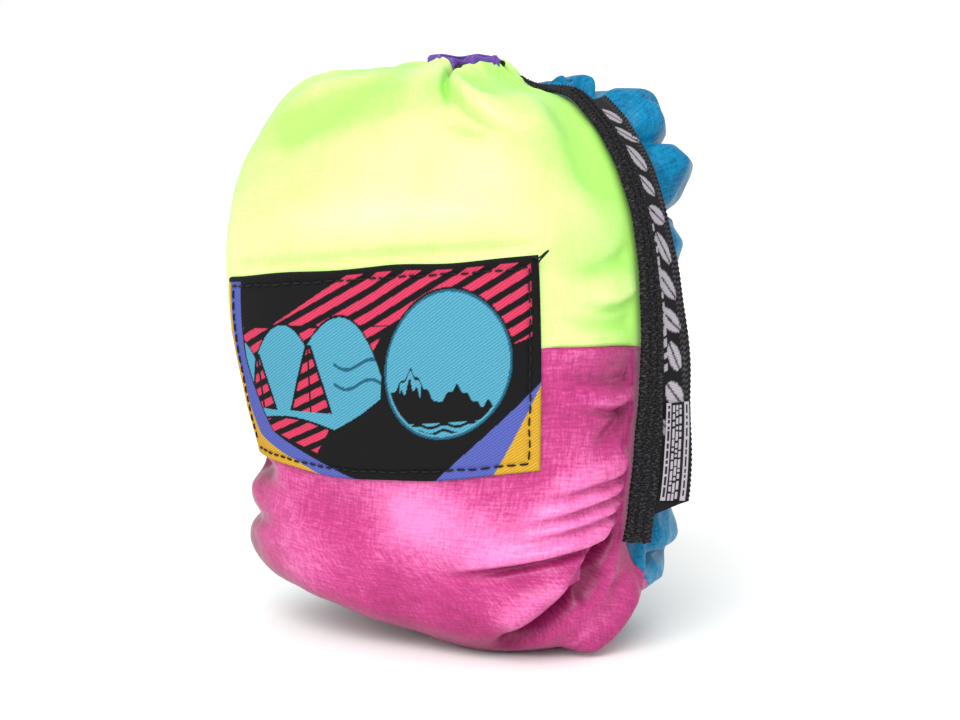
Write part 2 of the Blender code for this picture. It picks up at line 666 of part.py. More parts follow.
def gathered_end(name, at, facing, finish_name):
    """The bunched and whipped end of the bed, with the rope loop that runs through its hem."""
    loop = tube_curve(f"{name}_rope_loop", rope_centreline(facing), ROPE_RADIUS, cyclic=True)
    add_part(f"{name}_rope_loop", loop, "black_rope", at)

    bm = bmesh.new()
    profile = [bm.verts.new((radius * MM, 0, height * MM)) for radius, height in GATHER_PROFILE]
    edges = [bm.edges.new(pair) for pair in zip(profile, profile[1:])]
    bmesh.ops.spin(bm, geom=profile + edges, cent=(0, 0, 0), axis=(0, 0, 1),
                   angle=2 * math.pi, steps=16, use_merge=True)
    bmesh.ops.remove_doubles(bm, verts=bm.verts, dist=1e-6)
    bmesh.ops.recalc_face_normals(bm, faces=bm.faces)
    bmesh.ops.scale(bm, vec=(1.0, GATHER_DEPTH_SCALE, 1.0), verts=bm.verts)
    gather = add_part(f"{name}_end_gather", mesh_from(bm, f"{name}_end_gather"), finish_name,
                      at + Vector((facing * ROPE_U, 0, 0)))
    channel = tube_curve(f"{name}_channel", rope_centreline(facing), ROPE_RADIUS + ROPE_CLEARANCE,
                         cyclic=True)
    boolean(gather, add_cutter(f"{name}_channel", mesh_of_curve(channel, f"{name}_channel"), at))


def main():
    clear_scene()
    front_upper_panel()
    front_lower_panel()
    rear_panel()
    mouth_sleeve()
    woven_patch()
    front_seam_stitching()
    side_tapes()
    care_label()
    drawcord()
    cord_lock()
    bed_layers()
    carabiner("head_carabiner", HEAD_CLIP, 1)
    carabiner("foot_carabiner", FOOT_CLIP, -1)
    gathered_end("head", HEAD_CLIP, 1, "pink_taffeta")
    gathered_end("foot", FOOT_CLIP, -1, "pink_taffeta")


main()
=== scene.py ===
"""Final looks of a camping hammock that is packed into its own drawstring stuff sack.

The sack's cloth is folded and gathered here as sewn nylon taffeta, with its woven badge, its side
tapes and labels, its mouth sleeve, drawcord and cord lock. The bed's cloth and clips lie inside.
Lengths are millimetres until a mesh is written, and MM turns them to metres.
"""

import logging
import math
from dataclasses import dataclass, field
from enum import Enum
from typing import Callable

import bmesh
import bpy
import numpy as np
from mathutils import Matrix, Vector, noise

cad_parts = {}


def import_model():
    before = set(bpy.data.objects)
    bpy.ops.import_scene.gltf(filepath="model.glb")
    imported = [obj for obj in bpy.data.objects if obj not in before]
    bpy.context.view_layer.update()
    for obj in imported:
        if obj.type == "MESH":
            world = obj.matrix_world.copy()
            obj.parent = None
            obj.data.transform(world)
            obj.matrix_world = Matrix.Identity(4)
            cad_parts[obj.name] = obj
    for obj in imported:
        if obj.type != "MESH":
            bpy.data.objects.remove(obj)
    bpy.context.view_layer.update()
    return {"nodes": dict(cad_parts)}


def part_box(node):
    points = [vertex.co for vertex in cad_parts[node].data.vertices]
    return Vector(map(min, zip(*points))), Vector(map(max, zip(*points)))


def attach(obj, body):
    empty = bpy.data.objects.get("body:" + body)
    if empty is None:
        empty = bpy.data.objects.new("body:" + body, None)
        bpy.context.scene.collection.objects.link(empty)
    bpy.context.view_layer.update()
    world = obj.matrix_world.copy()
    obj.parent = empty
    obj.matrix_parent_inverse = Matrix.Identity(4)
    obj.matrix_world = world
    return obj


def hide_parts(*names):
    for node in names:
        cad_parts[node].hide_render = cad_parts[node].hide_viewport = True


MM = 0.001
CENTRE_LINE = np.array([-1.15, -1.56, 0.0])   # the sack's centre line, from the origin
BASE_DROP = 11 / 12                           # the drop at which the sack's wall meets the floor
CLOTH_UV = "cloth"                            # a piece's flat pattern, in millimetres
DESIGN = "design"                             # the colours woven or printed into a piece
PAINTED_SHADING = "hollow"                             # painted shading, from -1 for painted highlight on a roll to 1 for painted shade in a groove
Places = Callable[[np.ndarray, np.ndarray], np.ndarray]
Relief = Callable[[float, float], float]      # the share of a bar's radius, along and round it
Nodes = dict[str, bpy.types.Object]           # the plain solids by name

LOG = logging.getLogger("packed_hammock")


# --- Mathematics of curves and surfaces ---------------------------------------------------------


def curve_through(points: list | tuple | np.ndarray, at: np.ndarray | float) -> np.ndarray:
    """Read the smooth curve that passes through some points.

    Args:
        points: The points, in order.
        at: Where to read it, from 0 at the first point to 1 at the last.

    Returns:
        One point for each value of at.
    """
    points = np.asarray(points, float)
    spans = len(points) - 1
    ends = 2 * points[0] - points[1], 2 * points[-1] - points[-2]
    padded = np.vstack([ends[0], points, ends[1]])
    place = np.clip(np.asarray(at, float), 0.0, 1.0) * spans
    index = np.minimum(place.astype(int), spans - 1)
    part = (place - index)[..., None]
    a, b, c, d = (padded[index + k] for k in range(4))
    return 0.5 * (2 * b + (c - a) * part + (2 * a - 5 * b + 4 * c - d) * part**2
                  + (3 * b - a - 3 * c + d) * part**3)


def evenly_spaced(points: np.ndarray, step: float) -> np.ndarray:
    """Points a step apart along a line of points."""
    along = np.concatenate([[0], np.cumsum(np.linalg.norm(np.diff(points, axis=0), axis=1))])
    places = np.linspace(0, along[-1], max(round(along[-1] / step), 2) + 1)
    return np.stack([np.interp(places, along, points[:, k]) for k in range(points.shape[1])], axis=1)


def unit(vectors: np.ndarray) -> np.ndarray:
    """The same directions with a length of one."""
    return vectors / np.maximum(np.linalg.norm(vectors, axis=-1, keepdims=True), 1e-9)


def smooth_step(low: float, high: float, value: np.ndarray) -> np.ndarray:
    """Rise smoothly from 0 at low to 1 at high."""
    part = np.clip((value - low) / (high - low), 0.0, 1.0)
    return part * part * (3 - 2 * part)


def bell(offset: np.ndarray, width: float) -> np.ndarray:
    """A bell curve, 1 in the middle and nearly 0 beyond two widths."""
    return np.exp(-(offset / width) ** 2)


def crumple(points: np.ndarray, size: float, seed: float) -> np.ndarray:
    """Smooth seeded noise from about -1 to 1 at each point, with lumps of this size."""
    shift = Vector((seed * 7.3, seed * 3.1, seed * 5.7))
    return np.array([noise.noise(Vector(p) / size + shift) for p in points.tolist()])


# --- Meshes -------------------------------------------------------------------------------------


def point_places(mesh: bpy.types.Mesh) -> np.ndarray:
    """The place of each point of a mesh."""
    spots = np.zeros(len(mesh.vertices) * 3, np.float32)
    mesh.vertices.foreach_get("co", spots)
    return spots.reshape(-1, 3)


def set_pattern(mesh: bpy.types.Mesh, pattern: np.ndarray) -> None:
    """Store the place of each point of a mesh on its flat pattern, in millimetres."""
    corners = np.zeros(len(mesh.loops), np.int32)
    mesh.loops.foreach_get("vertex_index", corners)
    mesh.uv_layers[CLOTH_UV].data.foreach_set("uv", pattern[corners].astype(np.float32).ravel())


def grid_mesh(name: str, columns: int, rows: int, place: Places, flat: Places,
              closed: bool = False) -> bpy.types.Mesh:
    """Make a sheet from a grid whose points are put on a surface.

    Args:
        name: The mesh's name.
        columns: How many faces lie across.
        rows: How many faces lie up.
        place: Gives the points in millimetres from the sack's centre line, for u and v in 0..1.
        flat: Gives the same points on the flat pattern, in millimetres.
        closed: Whether the edges that meet are merged.

    Returns:
        The mesh, in metres in the frame of the object.
    """
    bm = bmesh.new()
    bmesh.ops.create_grid(bm, x_segments=columns, y_segments=rows, size=1.0)
    bm.loops.layers.uv.new(CLOTH_UV)
    mesh = bpy.data.meshes.new(name)
    bm.to_mesh(mesh)
    bm.free()
    u, v = ((point_places(mesh)[:, :2] + 1) / 2).astype(float).T
    points = (place(u, v) + CENTRE_LINE) * MM
    mesh.vertices.foreach_set("co", points.astype(np.float32).ravel())
    set_pattern(mesh, flat(u, v))
    if closed:
        merge_doubles(mesh)
    mesh.shade_smooth()
    return mesh


def merge_doubles(mesh: bpy.types.Mesh, within: float = 2e-5) -> None:
    """Merge the points of a mesh that lie together, and turn its faces outwards."""
    bm = bmesh.new()
    bm.from_mesh(mesh)
    bmesh.ops.remove_doubles(bm, verts=bm.verts, dist=within)
    bmesh.ops.recalc_face_normals(bm, faces=bm.faces)
    bm.to_mesh(mesh)
    bm.free()


def paint_design(mesh: bpy.types.Mesh, colours: np.ndarray) -> None:
    """Store one linear colour for each point of a mesh."""
    layer = mesh.attributes.new(DESIGN, "FLOAT_COLOR", "POINT")
    full = np.ones((len(mesh.vertices), 4), np.float32)
    full[:, :3] = colours
    layer.data.foreach_set("color", full.ravel())


def paint_shading(mesh: bpy.types.Mesh, painted_shades: np.ndarray) -> None:
    """Store the painted shading of each point of a mesh, from -1 for painted highlight to 1 for painted
    shade.
    """
    layer = mesh.attributes.new(PAINTED_SHADING, "FLOAT", "POINT")
    layer.data.foreach_set("value", np.clip(painted_shades, -1, 1).astype(np.float32))


def frames_along(path: np.ndarray) -> tuple[np.ndarray, np.ndarray]:
    """Two directions square to a path at each of its points, which turn as little as they can."""
    tangents = unit(np.gradient(path, axis=0))
    start = np.array([0.0, 0.0, 1.0]) if abs(tangents[0][2]) < 0.8 else np.array([1.0, 0.0, 0.0])
    first = [unit(start - tangents[0] * (start @ tangents[0]))]
    for tangent in tangents[1:]:
        first.append(unit(first[-1] - tangent * (first[-1] @ tangent)))
    across = np.array(first)
    return across, np.cross(tangents, across)


def tube_mesh(name: str, paths: list[np.ndarray], radius: float, sides: int,
              relief: Relief | None = None, round_ends: bool = True) -> bpy.types.Mesh:
    """Make round bars of thread, cord or rope along some paths.

    Args:
        name: The mesh's name.
        paths: The centre line of each bar, in millimetres from the sack's centre line.
        radius: Half the bar's thickness.
        sides: How many faces go round it.
        relief: Gives the share of the radius at a distance along and an angle round it.
        round_ends: Whether the ends are domes; otherwise the path is closed on itself.

    Returns:
        The mesh of all the bars, in metres.
    """
    bm = bmesh.new()
    layer = bm.loops.layers.uv.new(CLOTH_UV)
    for path in paths:
        across, up = frames_along(path)
        along = np.concatenate([[0], np.cumsum(np.linalg.norm(np.diff(path, axis=0), axis=1))])
        reach = np.full(len(path), float(radius))
        if round_ends:
            to_end = np.minimum(along, along[-1] - along)
            reach *= np.sqrt(np.clip(1 - (1 - np.clip(to_end / radius, 0, 1)) ** 2, 0.0004, 1))
        made = bmesh.ops.create_grid(bm, x_segments=len(path) - 1, y_segments=sides, size=1.0)
        flat = {}
        for vert in made["verts"]:
            k = round((vert.co.x + 1) / 2 * (len(path) - 1))
            turn = (vert.co.y + 1) * math.pi
            share = float(relief(along[k], turn)) if relief else 1.0
            out = across[k] * math.cos(turn) + up[k] * math.sin(turn)
            vert.co = Vector((path[k] + out * reach[k] * share + CENTRE_LINE) * MM)
            flat[vert] = (along[k], turn * radius)
        for face in {face for vert in made["verts"] for face in vert.link_faces}:
            for corner in face.loops:
                corner[layer].uv = flat[corner.vert]
    mesh = bpy.data.meshes.new(name)
    bm.to_mesh(mesh)
    bm.free()
    merge_doubles(mesh, 1e-6 if not round_ends else radius * 0.03 * MM)
    mesh.shade_smooth()
    return mesh


# --- Finishes -----------------------------------------------------------------------------------


def linear(colour: str) -> tuple[float, float, float, float]:
    """Turn an sRGB hex colour such as #C8F77A to linear red, green, blue and alpha."""
    parts = [int(colour[k:k + 2], 16) / 255 for k in (1, 3, 5)]
    return (*[p / 12.92 if p <= 0.04045 else ((p + 0.055) / 1.055) ** 2.4 for p in parts], 1.0)


def add_node(tree: bpy.types.NodeTree, kind: str, inputs: dict | None = None,
             **settings: object) -> bpy.types.Node:
    """Add a node with its settings, and give each named input its value or its link."""
    node = tree.nodes.new(kind)
    for name, value in settings.items():
        setattr(node, name, value)
    for key, value in (inputs or {}).items():
        if isinstance(value, bpy.types.NodeSocket):
            tree.links.new(value, node.inputs[key])
        else:
            node.inputs[key].default_value = value
    return node


def band_scale(pitch: float) -> float:
    """The scale of a wave texture whose bands repeat every pitch."""
    return 2 * math.pi / 20 / pitch


def flat_place(tree: bpy.types.NodeTree) -> bpy.types.NodeSocket:
    """The place on the flat pattern, in millimetres."""
    return add_node(tree, "ShaderNodeUVMap", uv_map=CLOTH_UV).outputs[0]


def solid_place(tree: bpy.types.NodeTree) -> bpy.types.NodeSocket:
    """The place in space, in metres."""
    return add_node(tree, "ShaderNodeTexCoord").outputs["Object"]


def mapped(tree: bpy.types.NodeTree, place: bpy.types.NodeSocket, degrees: float = 0.0,
           scale: tuple[float, float, float] = (1.0, 1.0, 1.0)) -> bpy.types.NodeSocket:
    """A place that is turned in its plane and stretched."""
    return add_node(tree, "ShaderNodeMapping", {
        "Vector": place, "Rotation": (0.0, 0.0, math.radians(degrees)), "Scale": scale}).outputs[0]


def noise_at(tree: bpy.types.NodeTree, place: bpy.types.NodeSocket, scale: float,
             detail: float = 2.0, roughness: float = 0.5,
             distortion: float = 0.0) -> bpy.types.NodeSocket:
    """Noise at each place, from 0 to 1."""
    return add_node(tree, "ShaderNodeTexNoise", {
        "Vector": place, "Scale": scale, "Detail": detail, "Roughness": roughness,
        "Distortion": distortion}).outputs["Fac"]


def mix_values(tree: bpy.types.NodeTree, share: float, first: bpy.types.NodeSocket,
               second: bpy.types.NodeSocket) -> bpy.types.NodeSocket:
    """The first value, with this share of the second."""
    return add_node(tree, "ShaderNodeMix", {"Factor": share, "A": first, "B": second},
                    data_type="FLOAT").outputs["Result"]


def map_range(tree: bpy.types.NodeTree, value: bpy.types.NodeSocket, start: tuple[float, float],
              end: tuple[float, float]) -> bpy.types.NodeSocket:
    """A value brought from one range to another."""
    return add_node(tree, "ShaderNodeMapRange", {
        "Value": value, "From Min": start[0], "From Max": start[1], "To Min": end[0],
        "To Max": end[1]}).outputs["Result"]


def colour_by(tree: bpy.types.NodeTree, shader: bpy.types.Node, value: bpy.types.NodeSocket,
              low: tuple[float, str], high: tuple[float, str], *between: tuple[float, str]) -> None:
    """Colour a shader along a ramp, whose stops are each a place from 0 to 1 and a colour."""
    ramp = add_node(tree, "ShaderNodeValToRGB", {"Fac": value})
    stops = ramp.color_ramp.elements
    for stop, (at, colour) in zip(list(stops), (low, high)):
        stop.position, stop.color = at, linear(colour)
    for at, colour in between:
        stops.new(at).color = linear(colour)
    tree.links.new(ramp.outputs["Color"], shader.inputs["Base Color"])


def add_relief(tree: bpy.types.NodeTree, shader: bpy.types.Node, height: bpy.types.NodeSocket,
               strength: float, depth: float) -> None:
    """Give a shader fine relief, of this depth in metres, on top of any it has."""
    inputs = {"Height": height, "Strength": strength, "Distance": depth}
    if shader.inputs["Normal"].is_linked:
        inputs["Normal"] = shader.inputs["Normal"].links[0].from_socket
    bump = add_node(tree, "ShaderNodeBump", inputs)
    tree.links.new(bump.outputs["Normal"], shader.inputs["Normal"])


@dataclass(frozen=True)
class Finish:
    """What every finish has: a name, a colour and how rough it is."""

    name: str
    colour: str
    roughness: float

    def material(self) -> bpy.types.Material:
        """The material of this finish, made the first time it is asked for."""
        if self.name in bpy.data.materials:
            return bpy.data.materials[self.name]
        made = bpy.data.materials.new(self.name)
        made.use_nodes = True
        tree = made.node_tree
        shader = tree.nodes["Principled BSDF"]
        shader.inputs["Base Color"].default_value = linear(self.colour)
        shader.inputs["Roughness"].default_value = self.roughness
        self.dress(tree, shader)
        return made

    def dress(self, tree: bpy.types.NodeTree, shader: bpy.types.Node) -> None:
        """Add what makes this finish more than one flat colour."""
        raise NotImplementedError


@dataclass(frozen=True)
class Taffeta(Finish):
    """Nylon taffeta, woven plain from fine bright yarn: a satin sheen with a faint cross-weave.

    The real threads are about 0.15 mm apart. They are drawn 0.35 mm apart, so that they show.
    """

    # the ramp's dark and pale ends, reached by the yarn's mottle and by the painted shade and painted
    # highlight
    shade: str = "#000000"
    bright: str = "#FFFFFF"
    thread: float = 0.35
    mottle: float = 0.5
    sheen: float = 0.25
    # how far the stored painted shading pulls the colour towards the shade or bright end
    painted_shade_strength: float = 0.5
    gloss: float = 0.3

    def dress(self, tree: bpy.types.NodeTree, shader: bpy.types.Node) -> None:
        """Mottled yarn colours with painted shade and painted highlight from the stored shading,
        cross-weave relief and fine wrinkles.
        """
        flat, place = flat_place(tree), solid_place(tree)
        thin, long = 1 / self.thread, 0.14 / self.thread
        yarns = [noise_at(tree, mapped(tree, flat, scale=way), 0.5, 2.0, 0.6)
                 for way in ((thin, long, 1.0), (long, thin, 1.0))]
        weave = mix_values(tree, 0.5, *yarns)
        mixed = mix_values(tree, 0.72, noise_at(tree, place, 1500.0, 2.0, 0.7), weave)
        tone = map_range(tree, mixed, (0.36, 0.64),
                         (0.5 - self.mottle / 2, 0.5 + self.mottle / 2))
        clouds = map_range(tree, noise_at(tree, place, 38.0, 3.0, 0.55), (0.3, 0.7), (-0.16, 0.16))
        both = add_node(tree, "ShaderNodeMath", {0: tone, 1: clouds})
        # painted shade and painted highlight: the stored shading moves the colour along the ramp
        hollow = add_node(tree, "ShaderNodeAttribute", attribute_name=PAINTED_SHADING)
        shaded = add_node(tree, "ShaderNodeMath", {
            0: hollow.outputs["Fac"], 1: -self.painted_shade_strength, 2: both.outputs[0]},
            operation="MULTIPLY_ADD")
        colour_by(tree, shader, shaded.outputs[0], (0.0, self.shade), (1.0, self.bright),
                  (0.5, self.colour))
        add_relief(tree, shader, mixed, 0.35, 0.12 * MM)
        add_relief(tree, shader, noise_at(tree, place, 120.0, 3.0, 0.6, 0.6), 0.35, 0.7 * MM)
        shader.inputs["Sheen Weight"].default_value = self.sheen
        shader.inputs["Sheen Roughness"].default_value = 0.35
        shader.inputs["Specular IOR Level"].default_value = self.gloss


@dataclass(frozen=True)
class WovenTape(Finish):
    """Polyester binding, overlocked: matt black yarn with grey flecks where thread crosses it."""

    fleck: str = "#77737A"
    share: float = 0.5

    def dress(self, tree: bpy.types.NodeTree, shader: bpy.types.Node) -> None:
        """Short slanted flecks on the flat pattern, and their relief."""
        slanted = mapped(tree, flat_place(tree), 28, (1.1, 2.6, 1.0))
        flecks = noise_at(tree, slanted, 1.1, 2.0, 0.75)
        colour_by(tree, shader, flecks, (self.share, self.colour), (self.share + 0.22, self.fleck))
        add_relief(tree, shader, flecks, 0.8, 0.25 * MM)
        shader.inputs["Specular IOR Level"].default_value = 0.2


@dataclass(frozen=True)
class WovenDesign(Finish):
    """Jacquard or printed cloth: its colours are the piece's own, broken up by its twill threads."""

    twill: float = 0.7
    depth: float = 0.3

    def dress(self, tree: bpy.types.NodeTree, shader: bpy.types.Node) -> None:
        """The stored design, darkened in the grooves of a diagonal twill."""
        flat = flat_place(tree)
        design = add_node(tree, "ShaderNodeVertexColor", layer_name=DESIGN)
        lines = add_node(tree, "ShaderNodeTexWave", {
            "Vector": mapped(tree, flat, 58), "Scale": band_scale(self.twill), "Distortion": 1.5,
            "Detail": 1.0, "Detail Scale": 1.5}, bands_direction="X")
        both = mix_values(tree, 0.5, lines.outputs["Fac"], noise_at(tree, flat, 2.2, 3.0, 0.7))
        dark = map_range(tree, both, (0.25, 0.75), (1 - self.depth, 1.0 + self.depth * 0.35))
        colour = add_node(tree, "ShaderNodeVectorMath", {0: design.outputs["Color"], 3: dark},
                          operation="SCALE")
        tree.links.new(colour.outputs[0], shader.inputs["Base Color"])
        add_relief(tree, shader, both, 0.5, 0.15 * MM)
        shader.inputs["Specular IOR Level"].default_value = 0.14


@dataclass(frozen=True)
class Braid(Finish):
    """Braided or twisted polyester yarn: dull black, with a paler fibre here and there."""

    strand: float = 1.0

    def dress(self, tree: bpy.types.NodeTree, shader: bpy.types.Node) -> None:
        """Slanted strands on the cord's own pattern, and a light fuzz."""
        flat = flat_place(tree)
        strands = add_node(tree, "ShaderNodeTexWave", {
            "Vector": mapped(tree, flat, 42), "Scale": band_scale(self.strand), "Distortion": 0.8})
        mixed = mix_values(tree, 0.4, strands.outputs["Fac"], noise_at(tree, flat, 6.0, 2.0, 0.7))
        colour_by(tree, shader, mixed, (0.0, "#040405"), (1.0, self.colour))
        add_relief(tree, shader, mixed, 0.7, 0.2 * MM)
        shader.inputs["Specular IOR Level"].default_value = 0.25


@dataclass(frozen=True)
class Moulded(Finish):
    """Injection-moulded nylon: black, half gloss, with the fine spark-eroded grain of its mould."""

    def dress(self, tree: bpy.types.NodeTree, shader: bpy.types.Node) -> None:
        """A 0.3 mm grain in the relief and the gloss."""
        grain = noise_at(tree, solid_place(tree), 1 / (0.3 * MM), 2.0, 0.6)
        gloss = map_range(tree, grain, (0.0, 1.0), (self.roughness - 0.08, self.roughness + 0.14))
        tree.links.new(gloss, shader.inputs["Roughness"])
        add_relief(tree, shader, grain, 0.4, 0.05 * MM)


@dataclass(frozen=True)
class Metal(Finish):
    """Drawn or anodised metal: even colour with faint lengthwise drawing marks."""

    mark: float = 0.4

    def dress(self, tree: bpy.types.NodeTree, shader: bpy.types.Node) -> None:
        """Drawing marks in the gloss."""
        drawn = mapped(tree, solid_place(tree), scale=(1.0, 1.0, 0.15))
        marks = noise_at(tree, drawn, 1 / (self.mark * MM), 3.0)
        gloss = map_range(tree, marks, (0.0, 1.0), (self.roughness - 0.08, self.roughness + 0.15))
        tree.links.new(gloss, shader.inputs["Roughness"])
        shader.inputs["Metallic"].default_value = 1.0


@dataclass(frozen=True)
class StudioFloor(Finish):
    """Matt white card, with the faint unevenness of its paper."""

    def dress(self, tree: bpy.types.NodeTree, shader: bpy.types.Node) -> None:
        """A 2 mm paper tooth in the relief."""
        tooth = noise_at(tree, solid_place(tree), 1 / (2 * MM))
        add_relief(tree, shader, tooth, 0.05, 0.05 * MM)
        shader.inputs["Specular IOR Level"].default_value = 0.1


LIME = Taffeta("lime_nylon_taffeta", "#C6E286", 0.45, shade="#9BD65E", bright="#D8E99E",
               mottle=0.20, sheen=0.10, painted_shade_strength=0.75)
PINK = Taffeta("pink_nylon_taffeta", "#AC2F71", 0.33, shade="#701140", bright="#DB74AE",
               mottle=0.42, sheen=0.0, gloss=0.28)
TEAL = Taffeta("teal_nylon_taffeta", "#005076", 0.36, shade="#002C42", bright="#0C82AD",
               mottle=0.50, sheen=0.0, gloss=0.10)
PURPLE = Taffeta("purple_nylon_taffeta", "#5B3A90", 0.42, shade="#3B2363", bright="#7A56B4",
                 mottle=0.35)
BADGE = WovenDesign("jacquard_woven_badge", "#19191B", 0.8)
LABEL = WovenDesign("printed_satin_tape", "#101012", 0.6, twill=0.5, depth=0.2)
BINDING = WovenTape("overlocked_polyester_binding", "#0B0B0C", 0.9, fleck="#4B484D")
THREAD = Braid("black_polyester_thread", "#18181A", 0.7, strand=0.4)
CORD = Braid("braided_polyester_cord", "#2E2E32", 0.7, strand=0.9)
ROPE = Braid("twisted_polyester_rope", "#303034", 0.75, strand=1.8)
NYLON = Moulded("moulded_black_nylon", "#1B1B1E", 0.4)
STEEL = Metal("drawn_spring_steel", "#B9BBBE", 0.3)
ALUMINIUM = Metal("anodised_aluminium", "#B4B7BC", 0.34)
CARD = StudioFloor("white_card", "#F4F5F3", 0.9)


def add_piece(name: str, mesh: bpy.types.Mesh, finish: Finish, body: str,
              stands_for: tuple[str, ...] = ()) -> bpy.types.Object:
    """Add a finished piece to the object.

    Args:
        name: The piece's name.
        mesh: Its mesh, in place.
        finish: What it is made of.
        body: The body that it moves with.
        stands_for: The plain solids that it replaces.

    Returns:
        The piece.
    """
    piece = bpy.data.objects.new(name, mesh)
    bpy.context.scene.collection.objects.link(piece)
    mesh.materials.append(finish.material())
    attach(piece, body)
    if stands_for:
        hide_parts(*stands_for)
    LOG.info("%s: %d faces, %s", name, len(mesh.polygons), finish.name)
    return piece


def add_thread(name: str, paths: list[np.ndarray], radius: float,
               stands_for: tuple[str, ...] = (), sides: int = 6,
               relief: Relief | None = None) -> None:
    """Add a piece of black thread along some paths."""
    mesh = tube_mesh(name, paths, radius, sides, relief=relief)
    add_piece(name, mesh, THREAD, "sack", stands_for)


def add_wall(piece: bpy.types.Object, thickness: float) -> None:
    """Give a sheet its thickness, inwards from its visible face."""
    wall = piece.modifiers.new("cloth_thickness", "SOLIDIFY")
    wall.thickness = thickness * MM
    wall.offset = -1.0


# --- The sack's form ----------------------------------------------------------------------------


@dataclass(frozen=True)
class SackForm:
    """The smooth form of the filled sack, before its cloth is folded.

    A place on it is an angle in degrees round from +X and a drop, from 0 at the rim of the mouth
    to 1 at the middle of the base. Each outline runs down one side as (reach, height).
    """

    right: tuple = ((10, 148), (18, 141), (30, 137), (41, 127), (49, 110), (52, 88), (52.5, 64),
                    (52.5, 42), (51, 22), (44, 7), (32, 1), (17, 0), (0, 0))
    left: tuple = ((10, 148), (25, 146), (43, 140), (55, 126), (60, 106), (60, 84), (55, 64),
                   (49.5, 48), (54, 31), (52, 14), (38, 3), (20, 0), (0, 0))
    front: tuple = ((8.5, 147.5), (17.5, 145), (29, 139), (38, 125), (42, 105), (42.5, 82),
                    (41, 60), (40, 40), (39, 22), (34, 8), (24, 1.2), (12, 0), (0, 0))
    rear: tuple = ((9, 149), (17, 143), (31, 138.5), (43, 127), (48, 110), (46, 88), (43, 64),
                   (42, 42), (41, 22), (35, 7), (25, 1), (13, 0), (0, 0))
    front_squareness: float = 3.2
    rear_squareness: float = 2.5
    round_mouth: float = 0.15

    def point(self, angle: np.ndarray, drop: np.ndarray) -> np.ndarray:
        """The surface at each angle and drop."""
        angle, drop = np.broadcast_arrays(np.asarray(angle, float), np.asarray(drop, float))
        cos, sin = np.cos(np.radians(angle)), np.sin(np.radians(angle))
        side = np.where((cos >= 0)[..., None], curve_through(self.right, drop),
                        curve_through(self.left, drop))
        face = np.where((sin >= 0)[..., None], curve_through(self.rear, drop),
                        curve_through(self.front, drop))
        squareness = np.where(sin >= 0, self.rear_squareness, self.front_squareness)
        power = 2 + (squareness - 2) * np.minimum(drop / self.round_mouth, 1.0)
        reach = (np.abs(cos) ** power + np.abs(sin) ** power) ** (-1 / power)
        height = np.maximum(cos**2 * side[..., 1] + sin**2 * face[..., 1], 0.0)
        return np.stack([cos * reach * side[..., 0], sin * reach * face[..., 0], height], axis=-1)

    def normal(self, angle: np.ndarray, drop: np.ndarray) -> np.ndarray:
        """The direction straight out of the surface."""
        angle, drop = np.asarray(angle, float), np.asarray(drop, float)
        round_it = self.point(angle + 0.5, drop) - self.point(angle - 0.5, drop)
        down_it = self.point(angle, drop + 0.004) - self.point(angle, drop - 0.004)
        return unit(np.cross(down_it, round_it))

    def raised(self, angle: np.ndarray, drop: np.ndarray, lift: float) -> np.ndarray:
        """A point this far outside the surface."""
        return self.point(angle, drop) + self.normal(angle, drop) * lift


class Side(Enum):
    """Which side seam a tape is sewn along."""

    RIGHT = 1
    LEFT = -1


@dataclass(frozen=True)
class SeamLine:
    """The line that a side tape is sewn along: its drops, angles and leans away from the cloth."""

    side: Side
    rows: tuple
    below: tuple                   # (drop, angle) of the panels' seam under the tape's end

    def setting(self, drop: np.ndarray) -> tuple[np.ndarray, np.ndarray]:
        """The angle and the lean, in degrees, at each drop."""
        drops, angles, leans = zip(*self.rows)
        angle = np.interp(drop, drops, angles)
        return angle if self.side is Side.RIGHT else 180 - angle, np.interp(drop, drops, leans)

    def panel_edge(self, drop: np.ndarray) -> np.ndarray:
        """The angle of the panels' seam, which runs on under the tape to the middle of the side."""
        drops, angles = zip(*[row[:2] for row in self.rows], *self.below)
        angle = np.interp(drop, drops, angles)
        angle = angle + 4.0 + 9.0 * (1 - smooth_step(0.07, 0.24, drop))
        return angle if self.side is Side.RIGHT else 180 - angle

    def point(self, form: SackForm, drop: np.ndarray, width: np.ndarray,
              height: np.ndarray) -> np.ndarray:
        """Points this far across the tape from its sewn edge and this far off its back face."""
        angle, lean = self.setting(drop)
        lean = np.radians(lean)[..., None]
        out = form.normal(angle, drop)
        down = unit(form.point(angle, drop + 0.01) - form.point(angle, drop - 0.01))
        rearward = np.cross(out, down) * self.side.value
        across = rearward * np.cos(lean) + out * np.sin(lean)
        face = out * np.cos(lean) - rearward * np.sin(lean)
        return (form.point(angle, drop) + out * 0.3 + across * np.asarray(width)[..., None]
                + face * np.asarray(height)[..., None])


FORM = SackForm()
RIGHT_SEAM = SeamLine(Side.RIGHT, ((0.055, 35, 6), (0.09, 22, 6), (0.15, 5, 6), (0.20, -1, 6),
                                   (0.25, -4, 7), (0.35, -6, 10), (0.42, -6, 18), (0.47, -7, 28),
                                   (0.53, -10, 42), (0.58, -13, 50), (0.635, -17, 52)),
                      ((0.66, -10), (0.70, 3), (0.76, 9), (0.84, 8), (BASE_DROP, -4)))
LEFT_SEAM = SeamLine(Side.LEFT, ((0.07, 32, 6), (0.11, 18, 6), (0.16, 7, 6), (0.22, 1, 6),
                                 (0.30, 0, 6), (0.64, 0, 6)), ((BASE_DROP, -4),))


Edge = Callable[[np.ndarray], np.ndarray]     # the drop of a panel's edge at each angle


def rim_edge(angle: np.ndarray) -> np.ndarray:
    """The drop of the mouth's rim."""
    return np.zeros(np.shape(angle))


